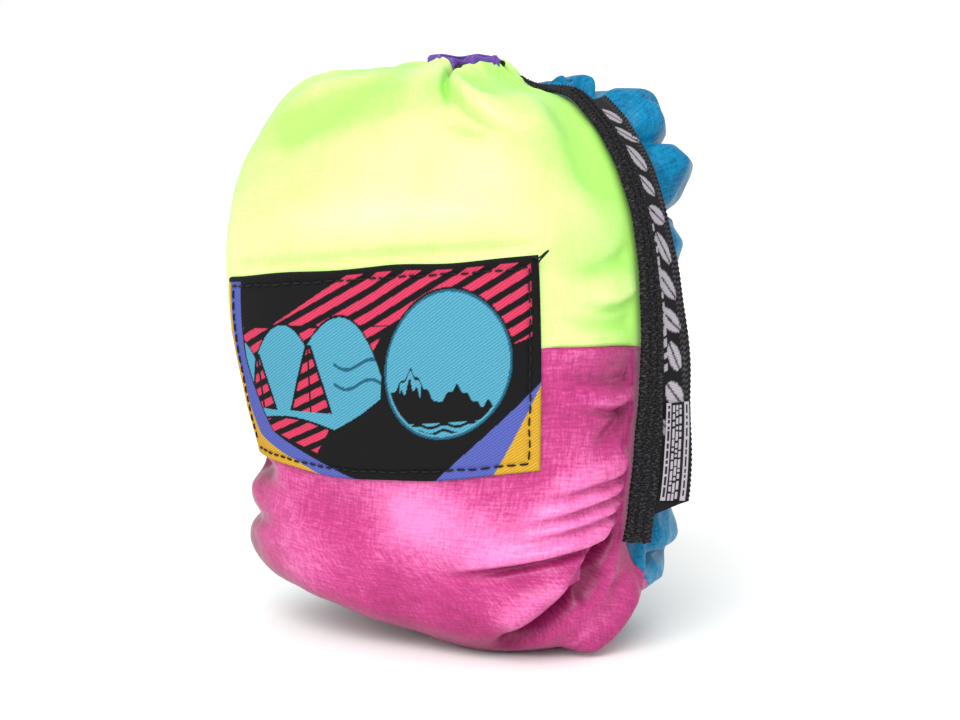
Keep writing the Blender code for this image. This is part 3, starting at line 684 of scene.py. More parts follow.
def level_seam(angle: np.ndarray) -> np.ndarray:
    """The drop of the seam of the two front panels, which sags a little to the right tape."""
    return 0.433 + 0.018 * np.clip((np.asarray(angle, float) + 44) / 39, 0, 1.2)


def floor_edge(angle: np.ndarray) -> np.ndarray:
    """The drop at which the cloth meets the floor."""
    return np.full(np.shape(angle), BASE_DROP)


# --- Folds in the cloth -------------------------------------------------------------------------


class FoldShape(Enum):
    """How the cloth stands along a fold."""

    VALLEY = "a groove"
    RIDGE = "a soft roll"
    TUCK = "a roll with a groove along the left of its path"


@dataclass(frozen=True)
class Fold:
    """One fold: its path over the sack as (angle, drop), its half width and how deep it is."""

    shape: FoldShape
    path: tuple
    width: float
    depth: float
    start: float = 0.35
    end: float = 0.35

    def lift(self, form: SackForm, points: np.ndarray) -> np.ndarray:
        """How far the fold lifts each point of the cloth off the smooth form."""
        spots = curve_through(self.path, np.linspace(0, 1, 400))
        line = form.point(spots[:, 0], spots[:, 1])
        normals = form.normal(spots[:, 0], spots[:, 1])
        both = evenly_spaced(np.hstack([line, normals]), 0.7)
        line, normals = both[:, :3], both[:, 3:]
        reach = self.width * 3.2
        near = np.all((points > line.min(0) - reach) & (points < line.max(0) + reach), axis=1)
        lifts = np.zeros(len(points))
        if not near.any():
            return lifts
        gaps = points[near][:, None] - line[None]
        nearest = np.argmin((gaps**2).sum(-1), axis=1)
        gap = gaps[np.arange(len(nearest)), nearest]
        leftward = unit(np.cross(normals, np.gradient(line, axis=0)))
        aside = (gap * leftward[nearest]).sum(-1)
        away = np.sign(aside) * np.linalg.norm(gap, axis=1) / self.width
        share = nearest / (len(line) - 1)
        taper = (smooth_step(0, self.start, share) if self.start else 1.0) \
            * (smooth_step(0, self.end, 1 - share) if self.end else 1.0)
        lifts[near] = self.profile(away) * taper * self.depth
        return lifts

    def profile(self, away: np.ndarray) -> np.ndarray:
        """The fold's cross-section at a signed distance, in half widths."""
        if self.shape is FoldShape.VALLEY:
            return -bell(away, 1.0)
        if self.shape is FoldShape.RIDGE:
            return np.exp(-np.abs(away) ** 1.6)
        roll = np.where(away > 0, bell(away, 0.42), bell(away, 1.7))
        return roll - 0.75 * bell(away - 0.85, 0.45)


V, R, T = FoldShape.VALLEY, FoldShape.RIDGE, FoldShape.TUCK

LIME_FOLDS = (
    Fold(V, ((-129, .25), (-122, .222), (-116, .19), (-110, .15), (-104, .10)), 5.5, 2.2),
    Fold(R, ((-134, .20), (-124, .165), (-114, .12), (-106, .07)), 6.0, 1.8),
    Fold(V, ((-76, -.02), (-75, .05), (-72, .11), (-69, .155), (-66, .19)), 0.9, 2.9, 0.0, 0.4),
    Fold(R, ((-92, .0), (-90, .06), (-86, .13), (-82, .19)), 6.0, 1.8, 0.0, 0.5),
    Fold(R, ((-60, .0), (-61, .05), (-62, .10), (-62, .16)), 4.5, 1.6, 0.0, 0.5),
    Fold(V, ((-62, .04), (-56, .09), (-48, .13), (-38, .16)), 3.2, 1.5, 0.2, 0.5),
    Fold(T, ((-38, .212), (-48, .196), (-57, .165), (-66, .095)), 3.0, 1.3, 0.4, 0.3),
    Fold(V, ((-68, .195), (-61, .214), (-50, .222)), 2.0, 1.1),
    Fold(V, ((-8, .13), (-13, .175), (-17, .24), (-21, .30), (-26, .33)), 7.0, 2.0),
    Fold(R, ((-30, .12), (-33, .18), (-35, .24)), 8.0, 1.4),
    Fold(R, ((-126, .335), (-108, .322), (-86, .310), (-62, .310), (-44, .324)), 5.0, 1.7),
    Fold(V, ((-138, .376), (-110, .362), (-86, .349), (-60, .346), (-40, .350)), 2.4, 1.5, .1, .1),
    Fold(V, ((-42, .366), (-28, .374), (-14, .370), (-4, .362)), 2.2, 1.2, .4, .1),
    Fold(T, ((-4, .398), (-15, .404), (-26, .402), (-36, .392)), 2.6, 1.4, .1, .5),
    Fold(V, ((-42, .410), (-30, .421), (-16, .426), (-8, .424)), 1.9, 1.1, .4, .1),
    Fold(V, ((-150, .30), (-146, .24), (-140, .19)), 5.0, 1.5),
    Fold(R, ((-165, .18), (-150, .14), (-138, .09)), 7.0, 1.7),
    Fold(V, ((-175, .33), (-160, .345), (-145, .352)), 4.0, 1.3, .1, .4),
)

PINK_FOLDS = (
    Fold(V, ((-44, .458), (-30, .470), (-18, .476), (-10, .474)), 2.4, 1.4, .4, .1),
    Fold(T, ((-10, .490), (-17, .494), (-26, .492), (-38, .482)), 2.4, 1.6, .1, .5),
    Fold(V, ((-34, .530), (-26, .522), (-18, .508), (-11, .500)), 2.2, 1.3, .4, .1),
    Fold(T, ((-14, .548), (-22, .556), (-34, .560), (-50, .570)), 2.6, 2.2, .1, .5),
    Fold(T, ((-16, .566), (-24, .574), (-38, .582), (-56, .598)), 2.4, 2.2, .1, .5),
    Fold(T, ((-17, .584), (-26, .592), (-40, .601), (-58, .616)), 2.4, 2.1, .1, .5),
    Fold(T, ((-19, .604), (-28, .616), (-42, .627), (-58, .641), (-76, .657)), 2.7, 3.4, .08, .45),
    Fold(V, ((-34, .652), (-46, .663), (-58, .676)), 2.6, 1.2),
    Fold(V, ((-19, .608), (-25, .630), (-29, .652), (-33, .676), (-38, .702), (-43, .730),
             (-49, .762), (-54, .80)), 2.7, 8.0, .08, .2),
    Fold(V, ((-24, .655), (-27, .680), (-32, .706)), 1.7, 3.6, .25, .3),
    Fold(R, ((-13, .632), (-9, .660), (-8, .700), (-16, .745), (-32, .790)), 5.6, 5.0, .15, .25),
    Fold(R, ((-36, .645), (-42, .672), (-50, .705), (-58, .74)), 4.6, 2.4, .3, .3),
    Fold(V, ((-13, .668), (-17, .676), (-20, .690)), 1.4, 1.3, .3, .3),
    Fold(V, ((-150, .590), (-138, .588), (-126, .580)), 3.2, 2.4, .1, .5),
    Fold(R, ((-165, .628), (-148, .625), (-132, .618)), 4.6, 2.0, .1, .5),
    Fold(V, ((-172, .668), (-150, .662), (-134, .650), (-122, .640)), 2.8, 2.4, .1, .5),
    Fold(R, ((-170, .712), (-152, .705), (-136, .695)), 6.0, 1.6, .1, .5),
    Fold(V, ((-178, .835), (-156, .832), (-132, .832), (-104, .845)), 13.0, 4.6, .0, .5),
    Fold(V, ((-120, .60), (-100, .606), (-80, .598)), 8.0, 1.2),
    Fold(R, ((-126, .70), (-104, .71), (-84, .70)), 12.0, 1.4),
)

REAR_FOLDS = (
    Fold(R, ((20, .135), (42, .152), (72, .150)), 4.6, 4.4, .2, .4),
    Fold(V, ((18, .165), (34, .172), (50, .180), (72, .186)), 1.5, 4.0, .15, .4),
    Fold(R, ((16, .206), (36, .222), (60, .230), (86, .226)), 8.6, 10.8, .25, .4),
    Fold(V, ((10, .236), (26, .262), (40, .276), (58, .274)), 1.5, 4.6, .15, .3),
    Fold(R, ((14, .285), (38, .302), (64, .296)), 7.6, 9.6, .25, .4),
    Fold(V, ((12, .330), (30, .342), (46, .338), (64, .345)), 1.7, 4.6, .15, .4),
    Fold(R, ((16, .366), (36, .372), (58, .366)), 5.6, 2.8, .25, .4),
    Fold(V, ((28, .215), (33, .228), (34, .246)), 1.3, 2.2, .3, .3),
    Fold(V, ((50, .222), (47, .240), (50, .258)), 1.6, 2.6, .3, .3),
    Fold(V, ((36, .286), (40, .300), (38, .318)), 1.4, 2.2, .3, .3),
    Fold(V, ((40, .070), (46, .100), (52, .125)), 2.2, 2.4, .2, .3),
    Fold(R, ((38, .085), (42, .110), (46, .135)), 4.0, 2.4, .2, .3),
    Fold(V, ((30, .115), (38, .135), (46, .142)), 1.8, 2.0, .2, .3),
    Fold(V, ((18, .430), (40, .440), (60, .430), (80, .445)), 3.0, 2.2, .2, .5),
    Fold(T, ((14, .520), (36, .530), (58, .520), (78, .530)), 3.2, 2.2, .1, .5),
    Fold(T, ((80, .600), (56, .590), (34, .600), (8, .585)), 3.0, 2.2, .5, .1),
    Fold(R, ((2, .632), (20, .642), (40, .640)), 4.6, 2.8, .15, .5),
    Fold(V, ((0, .662), (18, .664), (38, .668)), 1.8, 2.4, .1, .5),
    Fold(R, ((-4, .684), (16, .688), (36, .684)), 4.0, 2.6, .2, .5),
    Fold(V, ((-6, .735), (14, .740), (34, .745), (52, .74)), 5.5, 3.4, .1, .5),
    Fold(T, ((172, .20), (150, .21), (128, .19), (110, .17)), 4.0, 2.4, .1, .5),
    Fold(V, ((174, .30), (156, .29), (136, .31), (118, .33)), 3.6, 2.2, .1, .5),
    Fold(T, ((112, .42), (130, .41), (152, .43), (174, .41)), 3.6, 2.4, .5, .1),
    Fold(V, ((176, .52), (156, .53), (136, .51)), 3.0, 2.0, .1, .5),
    Fold(T, ((174, .60), (154, .61), (130, .60), (108, .62)), 3.0, 2.4, .1, .5),
    Fold(V, ((174, .70), (150, .69), (128, .71)), 3.4, 2.2, .1, .5),
    Fold(V, ((92, .22), (96, .30), (92, .38), (98, .46)), 5.0, 1.8, .4, .4),
    Fold(R, ((110, .24), (112, .33), (108, .40)), 9.0, 2.2, .4, .4),
    Fold(R, ((76, .36), (72, .46), (78, .54)), 9.0, 1.8, .4, .4),
    Fold(T, ((66, .66), (84, .67), (104, .66), (120, .68)), 3.4, 2.0, .4, .4),
    Fold(V, ((100, .56), (90, .60), (84, .66)), 4.0, 1.6, .4, .4),
    Fold(T, ((62, .25), (84, .27), (106, .25), (124, .27)), 3.2, 2.2, .4, .4),
    Fold(T, ((124, .50), (104, .49), (86, .51), (66, .49)), 3.4, 2.0, .4, .4),
    Fold(V, ((66, .76), (86, .75), (106, .77), (126, .75)), 3.4, 2.0, .4, .4),
)


@dataclass(frozen=True)
class Crumple:
    """One layer of small random folds, and how strong it is at the front, the back and the base."""

    size: float
    seed: float
    front: float
    rear: float
    low: float = 0.0
    crease: float | None = None    # where given, the lumps are turned into creases this wide

    def lift(self, points: np.ndarray, rear: np.ndarray, low: np.ndarray) -> np.ndarray:
        """How far this layer lifts each point of the cloth."""
        lumps = crumple(points, self.size, self.seed)
        if self.crease is not None:
            lumps = np.maximum(self.crease - np.abs(lumps), -0.3)
        return (self.front + self.rear * rear + self.low * low) * lumps


CRUMPLES = (Crumple(24, 1.0, 0.275, 0.825, 0.275),
            Crumple(19, 4.0, 0.12, 2.0, 0.35, crease=0.35),
            Crumple(9.5, 6.0, 0.15, 1.0, crease=0.3),
            Crumple(6.0, 9.0, 0.06, 0.30))


# --- The sack's cloth ---------------------------------------------------------------------------


@dataclass(frozen=True)
class BadgePlace:
    """Where the woven badge is sewn: the (angle, drop) of its corners and of its edges' middles."""

    top: tuple = ((-134, 0.379), (-86, 0.356), (-45, 0.352))
    bottom: tuple = ((-137, 0.566), (-92, 0.560), (-47, 0.543))
    width: float = 91.5
    height: float = 54.0
    drop_length: float = 265.0     # millimetres down the cloth for a drop of 1
    angle_length: float = 1.0      # millimetres round the cloth for a degree

    def spot(self, u: np.ndarray, v: np.ndarray) -> np.ndarray:
        """The (angle, drop) at u from the left edge and v from the bottom."""
        low, high = curve_through(self.bottom, u), curve_through(self.top, u)
        return low + (high - low) * np.asarray(v)[..., None]

    def outside(self, angle: np.ndarray, drop: np.ndarray) -> np.ndarray:
        """Roughly how far outside the badge's edge a place is, in millimetres."""
        u = (angle - self.top[0][0]) / (self.top[2][0] - self.top[0][0])
        high, low = curve_through(self.top, u)[..., 1], curve_through(self.bottom, u)[..., 1]
        aside = np.maximum(self.top[0][0] - angle, angle - self.top[2][0]) * self.angle_length
        above = np.maximum(high - drop, drop - low) * self.drop_length
        return np.maximum(aside, above)


@dataclass
class SackCloth:
    """The folded surface of the sack, shared by its three sewn panels."""

    form: SackForm = FORM
    badge: BadgePlace = field(default_factory=BadgePlace)
    folds: tuple = LIME_FOLDS + PINK_FOLDS + REAR_FOLDS
    floor_gap: float = 0.4
    corner_lift: float = 5.5
    hem_depth: float = 4.5
    thickness: float = 0.35
    pitch: float = 0.9             # the spacing of the mesh
    panel_width: float = 172.0     # from side seam to side seam, flat
    pleats: float = 17.0           # round the gathered mouth
    notch: float = -75.0           # where the mouth's front pleat dips
    base_reach: float = 36.0       # from the edge of the base to its middle
    hem_rows: int = 8

    def freedom(self, angle: np.ndarray, drop: np.ndarray, points: np.ndarray) -> np.ndarray:
        """How far the cloth is free to fold: 0 where a tape or the badge holds it flat, up to 1."""
        free = smooth_step(0.3, 3.6, self.badge.outside(angle, drop))
        for seam, wide, narrow in ((RIGHT_SEAM, 15.5, 7.5), (LEFT_SEAM, 7.5, 7.5)):
            sewn, _ = seam.setting(drop)
            rearward = (angle - sewn) * seam.side.value
            rearward = (rearward + 180) % 360 - 180
            gap = np.linalg.norm(points - self.form.point(sewn, drop), axis=1)
            label = (drop > 0.14) & (drop < 0.61)
            behind = smooth_step(0.0, 4.0, gap - np.where(label, wide, narrow))
            ahead = 0.25 + 0.75 * smooth_step(0.5, 5.0, gap)
            held = np.where(rearward > 0, behind, ahead)
            ends = smooth_step(0.65, 0.70, drop) + smooth_step(0.07, 0.03, drop)
            free = free * np.clip(held + ends, 0, 1)
        return free

    def gathers(self, angle: np.ndarray, drop: np.ndarray) -> np.ndarray:
        """The pleats that run out from the drawn mouth, deeper round the back."""
        rear = smooth_step(-0.15, 0.35, np.sin(np.radians(angle)))
        warped = angle + 9 * np.sin(np.radians(angle * 3 + 40)) + 5 * np.sin(np.radians(angle * 7))
        pleats = 1 - 2 * np.abs(np.sin(np.radians(warped * self.pleats / 2)))
        fine = 1 - 2 * np.abs(np.sin(np.radians(warped * self.pleats + 35)))
        depth = (0.22 + 0.75 * rear) * np.exp(-(drop / 0.085) ** 1.4)
        return pleats * depth + fine * 0.35 * rear * np.exp(-(drop / 0.04) ** 1.4)

    def lip(self, angle: np.ndarray, drop: np.ndarray) -> np.ndarray:
        """How much the rim of the mouth rises and dips."""
        from_notch = angle - self.notch
        notch = -3.3 * bell(from_notch, 8.0) - 1.2 * bell(from_notch - 17, 14.0)
        lobes = 0.9 * bell(from_notch + 37, 22.0) + 0.7 * bell(from_notch - 47, 16.0)
        rear = 0.5 * np.sin(np.radians(angle * 7)) * smooth_step(0.0, 0.4, np.sin(np.radians(angle)))
        return (notch + lobes + rear) * np.exp(-(drop / 0.035) ** 2) \
            - 1.9 * np.exp(-(drop / 0.07) ** 2)

    def lifted_corner(self, angle: np.ndarray, drop: np.ndarray) -> np.ndarray:
        """How high the underfilled left corner of the base stands off the floor."""
        turn = (angle + 180) % 360 - 180
        share = np.where(turn < 0, smooth_step(-58, -112, turn), smooth_step(60, 135, turn))
        return self.corner_lift * share * smooth_step(0.60, 0.90, drop)

    def base_middle(self, x: np.ndarray) -> np.ndarray:
        """The height of the middle line of the base, which rises towards the lifted corner."""
        return self.floor_gap + self.corner_lift * smooth_step(14, -30, x)

    def lifts(self, angle: np.ndarray, drop: np.ndarray) -> np.ndarray:
        """How far the folded cloth lies off the smooth form at each angle and drop."""
        base = self.form.point(angle, drop)
        lift = np.zeros(len(base))
        for fold in self.folds:
            lift += fold.lift(self.form, base)
        rear = smooth_step(-0.1, 0.3, np.sin(np.radians(angle)))
        low = smooth_step(0.56, 0.68, drop)
        for layer in CRUMPLES:
            lift += layer.lift(base, rear, low)
        seam = (drop - level_seam(angle)) * self.badge.drop_length
        front = smooth_step(-52, -44, angle) * smooth_step(2, -4, angle)
        lift += front * (0.55 * bell(seam - 1.6, 1.2) - 0.45 * bell(seam, 0.6))
        return lift * self.freedom(angle, drop, base) + self.gathers(angle, drop)

    def surface(self, angle: np.ndarray, drop: np.ndarray,
                lift: np.ndarray | None = None) -> np.ndarray:
        """The folded cloth at each angle and drop, in millimetres."""
        base, out = self.form.point(angle, drop), self.form.normal(angle, drop)
        lift = self.lifts(angle, drop) if lift is None else lift
        points = base + out * lift[:, None]
        points[:, 2] = np.maximum(points[:, 2] + self.lip(angle, drop), self.floor_gap) \
            + self.lifted_corner(angle, drop)
        return points

    def rolled_hem(self, angle: np.ndarray, turn: np.ndarray) -> np.ndarray:
        """The hem that turns in over the rim and hangs inside it, for turn from 0 to 1."""
        rim = self.surface(angle, np.zeros(len(angle)))
        flat = np.stack([rim[:, 0], rim[:, 1], np.zeros(len(rim))], axis=1)
        inward = unit(flat) * (1.3 * smooth_step(0, 0.35, turn))[:, None]
        rise = 0.45 * np.sin(np.pi * np.clip(turn / 0.35, 0, 1))
        fall = self.hem_depth * np.clip((turn - 0.2) / 0.8, 0, 1) ** 1.2
        return rim - inward + np.stack([0 * rise, 0 * rise, rise - fall], axis=1)

    def across(self, is_front: bool, u: np.ndarray, drop: np.ndarray) -> np.ndarray:
        """The angle at a share of a panel's width, from one side seam to the other."""
        left, right = LEFT_SEAM.panel_edge(drop), RIGHT_SEAM.panel_edge(drop)
        if is_front:
            return left - 360 + (right + 360 - left) * u
        return right + (left - right) * u

    def shading_to_paint(self, is_front: bool, angle: np.ndarray, drop: np.ndarray,
                lift: np.ndarray) -> np.ndarray:
        """Painted shade in the grooves, on the turned-away dome and sides and near the base; painted
        highlight on the rolls and under the badge.
        """
        if not is_front:
            # the rear panel: painted shade in the grooves, painted highlight on the puffs
            return np.clip(-lift * 0.30, -0.45, 1)
        # painted shade where the dome's top and the sides turn away from the light
        high = 0.24 + 0.07 * smooth_step(-80, -120, angle) + 0.08 * smooth_step(-62, -30, angle)
        turned = 1 - smooth_step(0.5 * high, high, drop) * smooth_step(-2, -34, angle) \
            * smooth_step(-158, -132, angle)
        # painted shade towards the base, and a painted satin highlight band under the badge
        low = smooth_step(0.62, 0.88, drop) - 0.95 * bell(drop - 0.60, 0.042) * bell(angle + 74, 24)
        # painted shade down the left side
        side = smooth_step(-118, -148, angle) * smooth_step(0.42, 0.48, drop)
        return np.clip(-lift * 0.30, -0.5, 1) + 0.70 * turned + 0.90 * low + 0.75 * side

    def panel(self, name: str, is_front: bool, foot: Edge, head: Edge) -> bpy.types.Mesh:
        """Make one sewn panel, from its low edge up.

        Args:
            name: The mesh's name.
            is_front: Whether it is in the front half of the sack.
            foot: Gives the drop of its low edge at an angle.
            head: Gives the drop of its high edge at an angle.

        Returns:
            The panel's mesh.
        """
        has_base, has_hem = foot is floor_edge, head is rim_edge
        wall_rows = round(float(foot(-60.0) - head(-60.0)) * self.badge.drop_length / self.pitch)
        base_rows = round(self.base_reach / self.pitch) if has_base else 0
        hem_rows = self.hem_rows if has_hem else 0
        total = wall_rows + base_rows + hem_rows
        columns = round(self.panel_width / self.pitch)
        painted_shades = []

        def place(u: np.ndarray, v: np.ndarray) -> np.ndarray:
            """The folded place of each point of the panel."""
            row = v * total
            share = np.clip((row - base_rows) / wall_rows, 0, 1)
            rough = self.across(is_front, u, foot(-60.0) + (head(-60.0) - foot(-60.0)) * share)
            drop = foot(rough) + (head(rough) - foot(rough)) * share
            angle = self.across(is_front, u, drop)
            lift = self.lifts(angle, drop)
            # the painted shade and painted highlight of each point, which the taffeta's colour reads
            painted_shades.append(self.shading_to_paint(is_front, angle, drop, lift))
            points = self.surface(angle, drop, lift)
            under = row < base_rows
            if has_base:
                share = row[under] / base_rows
                middle = self.base_middle(points[under, 0])
                points[under, 1] *= share
                points[under, 2] = middle + (points[under, 2] - middle) * share
            inside = row > base_rows + wall_rows + 1e-6
            if has_hem and inside.any():
                turn = (row[inside] - base_rows - wall_rows) / hem_rows
                points[inside] = self.rolled_hem(angle[inside], turn)
            return points

        def flat(u: np.ndarray, v: np.ndarray) -> np.ndarray:
            """The same points on the cut cloth."""
            return np.stack([u * self.panel_width, v * total * self.pitch], axis=1)

        mesh = grid_mesh(name, columns, total, place, flat)
        paint_shading(mesh, painted_shades[0])
        return mesh

    def build(self) -> None:
        """The lime, pink and teal panels."""
        for name, node, is_front, foot, head, finish, slot, flat in (
                ("upper_front_cloth", "front_upper_panel", True, level_seam, rim_edge, LIME,
                 "lime_taffeta", (0.160, 0.095)),
                ("lower_front_cloth", "front_lower_panel", True, floor_edge, level_seam, PINK,
                 "pink_taffeta", (0.160, 0.120)),
                ("rear_cloth", "rear_panel", False, floor_edge, rim_edge, TEAL,
                 "teal_taffeta", (0.165, 0.215))):
            piece = add_piece(name, self.panel(name, is_front, foot, head), finish, "sack",
                              (node,))
            add_wall(piece, self.thickness)


@dataclass(frozen=True)
class MouthSleeve:
    """The purple lining that stands as a ruffle in the mouth, and the overlocked rear rim."""

    half_x: float = 8.9
    half_front: float = 7.3
    half_rear: float = 8.0
    waist: float = 4.5
    bottom: float = 142.5
    top: float = 149.0
    notch: float = 292.0           # where the ruffle is pinched, degrees round

    def build(self) -> None:
        """The ruffle and the thread round the rear rim."""
        def place(u: np.ndarray, v: np.ndarray) -> np.ndarray:
            """Up from the waist, out over the drawcord to the frilled edge."""
            turn = 2 * np.pi * u
            flare = smooth_step(0.02, 0.55, v) - 0.10 * smooth_step(0.90, 1.0, v)
            half_y = np.where(np.sin(turn) < 0, self.half_front, self.half_rear)
            frill = 1 + 0.07 * np.sin(7 * turn + 0.8) + 0.05 * np.sin(12 * turn)
            from_notch = np.degrees(turn) - self.notch
            frill -= 0.35 * bell(from_notch, 9.0) * smooth_step(0.3, 1, v)
            reach_x = self.waist + (self.half_x * frill - self.waist) * flare
            reach_y = self.waist + (half_y * frill - self.waist) * flare
            height = self.bottom + (self.top - self.bottom) * v + 0.35 * np.sin(5 * turn) * v
            height -= (1.6 * bell(from_notch, 10.0) + 0.8 * bell(np.degrees(turn), 20)) * v
            return np.stack([reach_x * np.cos(turn), reach_y * np.sin(turn), height], axis=1)

        mesh = grid_mesh("mouth_ruffle", 220, 26, place,
                         lambda u, v: np.stack([u * 60, v * 11], axis=1), closed=True)
        ruffle = add_piece("mouth_ruffle", mesh, PURPLE, "sack",
                           ("mouth_sleeve",))
        add_wall(ruffle, 0.35)

        angles = np.linspace(12, 168, 150)
        rim = FORM.point(angles, np.zeros(len(angles)))
        rim[:, 2] += 0.25 * np.sin(np.radians(angles * 7)) - 1.3
        add_thread("rear_rim_overlock", [rim], 0.75, sides=8,
                   relief=lambda s, turn: 1 + 0.18 * math.sin(s * 6 + turn))


# --- Woven badge --------------------------------------------------------------------------------


class Yarn(Enum):
    """The badge's yarn colours."""

    BLACK = "#0D0D0F"
    CORAL = "#BC3352"
    CYAN = "#478DA4"
    DEEP_CYAN = "#1B5268"
    PERIWINKLE = "#4A549C"
    GOLD = "#B98F28"


Weave = Callable[[np.ndarray, Yarn], None]     # fills a shape with one yarn


@dataclass
class WovenBadge:
    """A jacquard badge of hills, tents and a low sun over slanting stripes, with its stitches."""

    at: BadgePlace = field(default_factory=BadgePlace)
    lift: float = 0.35
    thickness: float = 1.1
    thread_pitch: float = 0.26
    stitch: float = 2.75
    stitch_gap: float = 0.25
    stitch_inset: float = 2.7
    stitch_radius: float = 0.24
    stripe_slant: float = 25.0
    stripe_pitch: float = 3.7
    stripe_width: float = 2.0
    stripes_end: float = 89.3
    sun_middle: tuple = (67.8, 29.6)
    sun_halves: tuple = (16.6, 18.0)

    def picture(self, x: np.ndarray, y: np.ndarray) -> np.ndarray:
        """The yarn colour at each place, x from the left edge and y from the bottom."""
        colours = np.tile(np.array(linear(Yarn.BLACK.value)[:3]), (len(x), 1))

        def weave(where: np.ndarray, yarn: Yarn) -> None:
            """Fill a shape with one yarn."""
            colours[where] = linear(yarn.value)[:3]

        striped = self.weave_stripes(x, y, weave)
        self.weave_hills(x, y, striped, weave)
        self.weave_sun(x, y, weave)
        self.weave_corners(x, y, weave)
        weave(y > self.at.height - 1.3, Yarn.BLACK)
        return colours

    def weave_stripes(self, x: np.ndarray, y: np.ndarray, weave: Weave) -> np.ndarray:
        """Weave the slanting stripes behind the picture.

        Args:
            x: The places' distance from the left edge.
            y: Their distance from the bottom.
            weave: Fills a shape with one yarn.

        Returns:
            Which places lie on a stripe.
        """
        slant = math.radians(self.stripe_slant)
        across = y * math.cos(slant) - x * math.sin(slant)
        striped = np.mod(across, self.stripe_pitch) < self.stripe_width
        top = (y > 41 - (x - 19) * 0.02) & (across < 33) & (y - 41 < (x - 18) * 0.56 + 0.4)
        right = (x > 78) & (y > 33 + (x - 83) * 0.25)
        left = (x < 26 + y * 0.62) & (y < 40) & (y > 7 - (x - 28) * 0.28)
        weave(striped & (top | right | left) & (x < self.stripes_end), Yarn.CORAL)
        return striped

    def weave_hills(self, x: np.ndarray, y: np.ndarray, striped: np.ndarray, weave: Weave) -> None:
        """Three round hills with two striped tents and two ripples on them."""
        hills = np.max([36.8 - ((x - 4.5) / 2.6) ** 2, 41.0 - ((x - 20.4) / 3.1) ** 2,
                        42.6 - ((x - 37.0) / 3.4) ** 2], axis=0)
        foot = 14.0 + 2.2 * np.sin((x - 8) / 8.5) + np.maximum(x - 36, 0) * 0.75
        hill = (y < hills) & (y > foot) & (x < 50)
        weave((y < hills + 0.7) & (y > foot - 0.7) & (x < 50), Yarn.BLACK)
        weave(hill, Yarn.CYAN)
        for middle, base, half, tall in ((11.5, 17.5, 4.6, 15.5), (28.5, 18.0, 6.2, 18.0)):
            slope = half * (1 - (y - base) / tall)
            tent = (y > base) & (y < base + tall)
            weave(tent & (np.abs(x - middle) < slope + 0.8), Yarn.BLACK)
            weave(tent & (np.abs(x - middle) < slope) & striped, Yarn.CORAL)
            weave(tent & (np.abs(x - middle) < 0.35), Yarn.BLACK)
        for crest in (26.0, 31.0):
            ripple = crest + 1.3 * np.sin(x / 2.3)
            weave(hill & (x > 36) & (np.abs(y - ripple) < 0.45), Yarn.DEEP_CYAN)

    def weave_sun(self, x: np.ndarray, y: np.ndarray, weave: Weave) -> None:
        """A big low sun behind a ridge with snow and a lake."""
        round_it = np.hypot((x - self.sun_middle[0]) / self.sun_halves[0],
                            (y - self.sun_middle[1]) / self.sun_halves[1])
        inner = round_it < 0.95
        weave(round_it < 1.045, Yarn.BLACK)
        sun = round_it < 1
        weave(sun, Yarn.CYAN)
        ridge = np.max([29.5 - 1.15 * np.abs(x - 58.5), 25.0 - 0.9 * np.abs(x - 71.0),
                        20.5 - 0.8 * np.abs(x - 79.0), np.full_like(x, 17.0)], axis=0)
        ridge = ridge + 0.5 * np.sin(x * 2.4)
        weave(inner & (y < ridge), Yarn.BLACK)
        snow = (y > ridge - 3.2 - 0.8 * np.sin(x * 3)) & (y < ridge - 0.6)
        weave(sun & snow & (np.abs(x - 58.5) < 3.0), Yarn.CYAN)
        lake = (y < 15.6) & (np.mod(y + 0.5 * np.sin(x * 0.9), 1.7) < 0.95)
        weave(inner & lake, Yarn.CYAN)
        weave(np.abs(round_it - 1.0) < 0.018, Yarn.DEEP_CYAN)

    @staticmethod
    def weave_corners(x: np.ndarray, y: np.ndarray, weave: Weave) -> None:
        """The blue and gold bands at both lower corners."""
        def fall(reach: float) -> np.ndarray:
            """How near the bottom each place is, from 0 at this height to 1."""
            return np.clip((reach - y) / reach, 0, 1)

        blue = 6.0 + 14.0 * fall(34) ** 1.6 + 24.0 * fall(11) ** 1.3
        gold = 1.8 + 9.0 * fall(32) ** 1.8 + 21.0 * fall(9) ** 1.5
        weave((x < blue + 0.5) & (x > blue - 0.2), Yarn.BLACK)
        weave(x < blue, Yarn.PERIWINKLE)
        weave(x < gold, Yarn.GOLD)
        weave(y < (x - 65.5) * 0.93, Yarn.BLACK)
        weave(y < (x - 66.3) * 0.93, Yarn.PERIWINKLE)
        weave(y < (x - 80.8) * 2.15, Yarn.GOLD)

    def build(self) -> None:
        """The badge and everything sewn through it."""
        columns = round(self.at.width / self.thread_pitch)
        rows = round(self.at.height / self.thread_pitch)
        even = np.linspace(0, 1, 200)
        middle = FORM.point(*self.at.spot(even, np.full(200, 0.5)).T)
        along = np.concatenate([[0], np.cumsum(np.linalg.norm(np.diff(middle, axis=0), axis=1))])
        share = along / along[-1]

        def spot(u: np.ndarray, v: np.ndarray) -> np.ndarray:
            """The (angle, drop) at an even share of the badge's width and height."""
            return self.at.spot(np.interp(u, share, even), v)

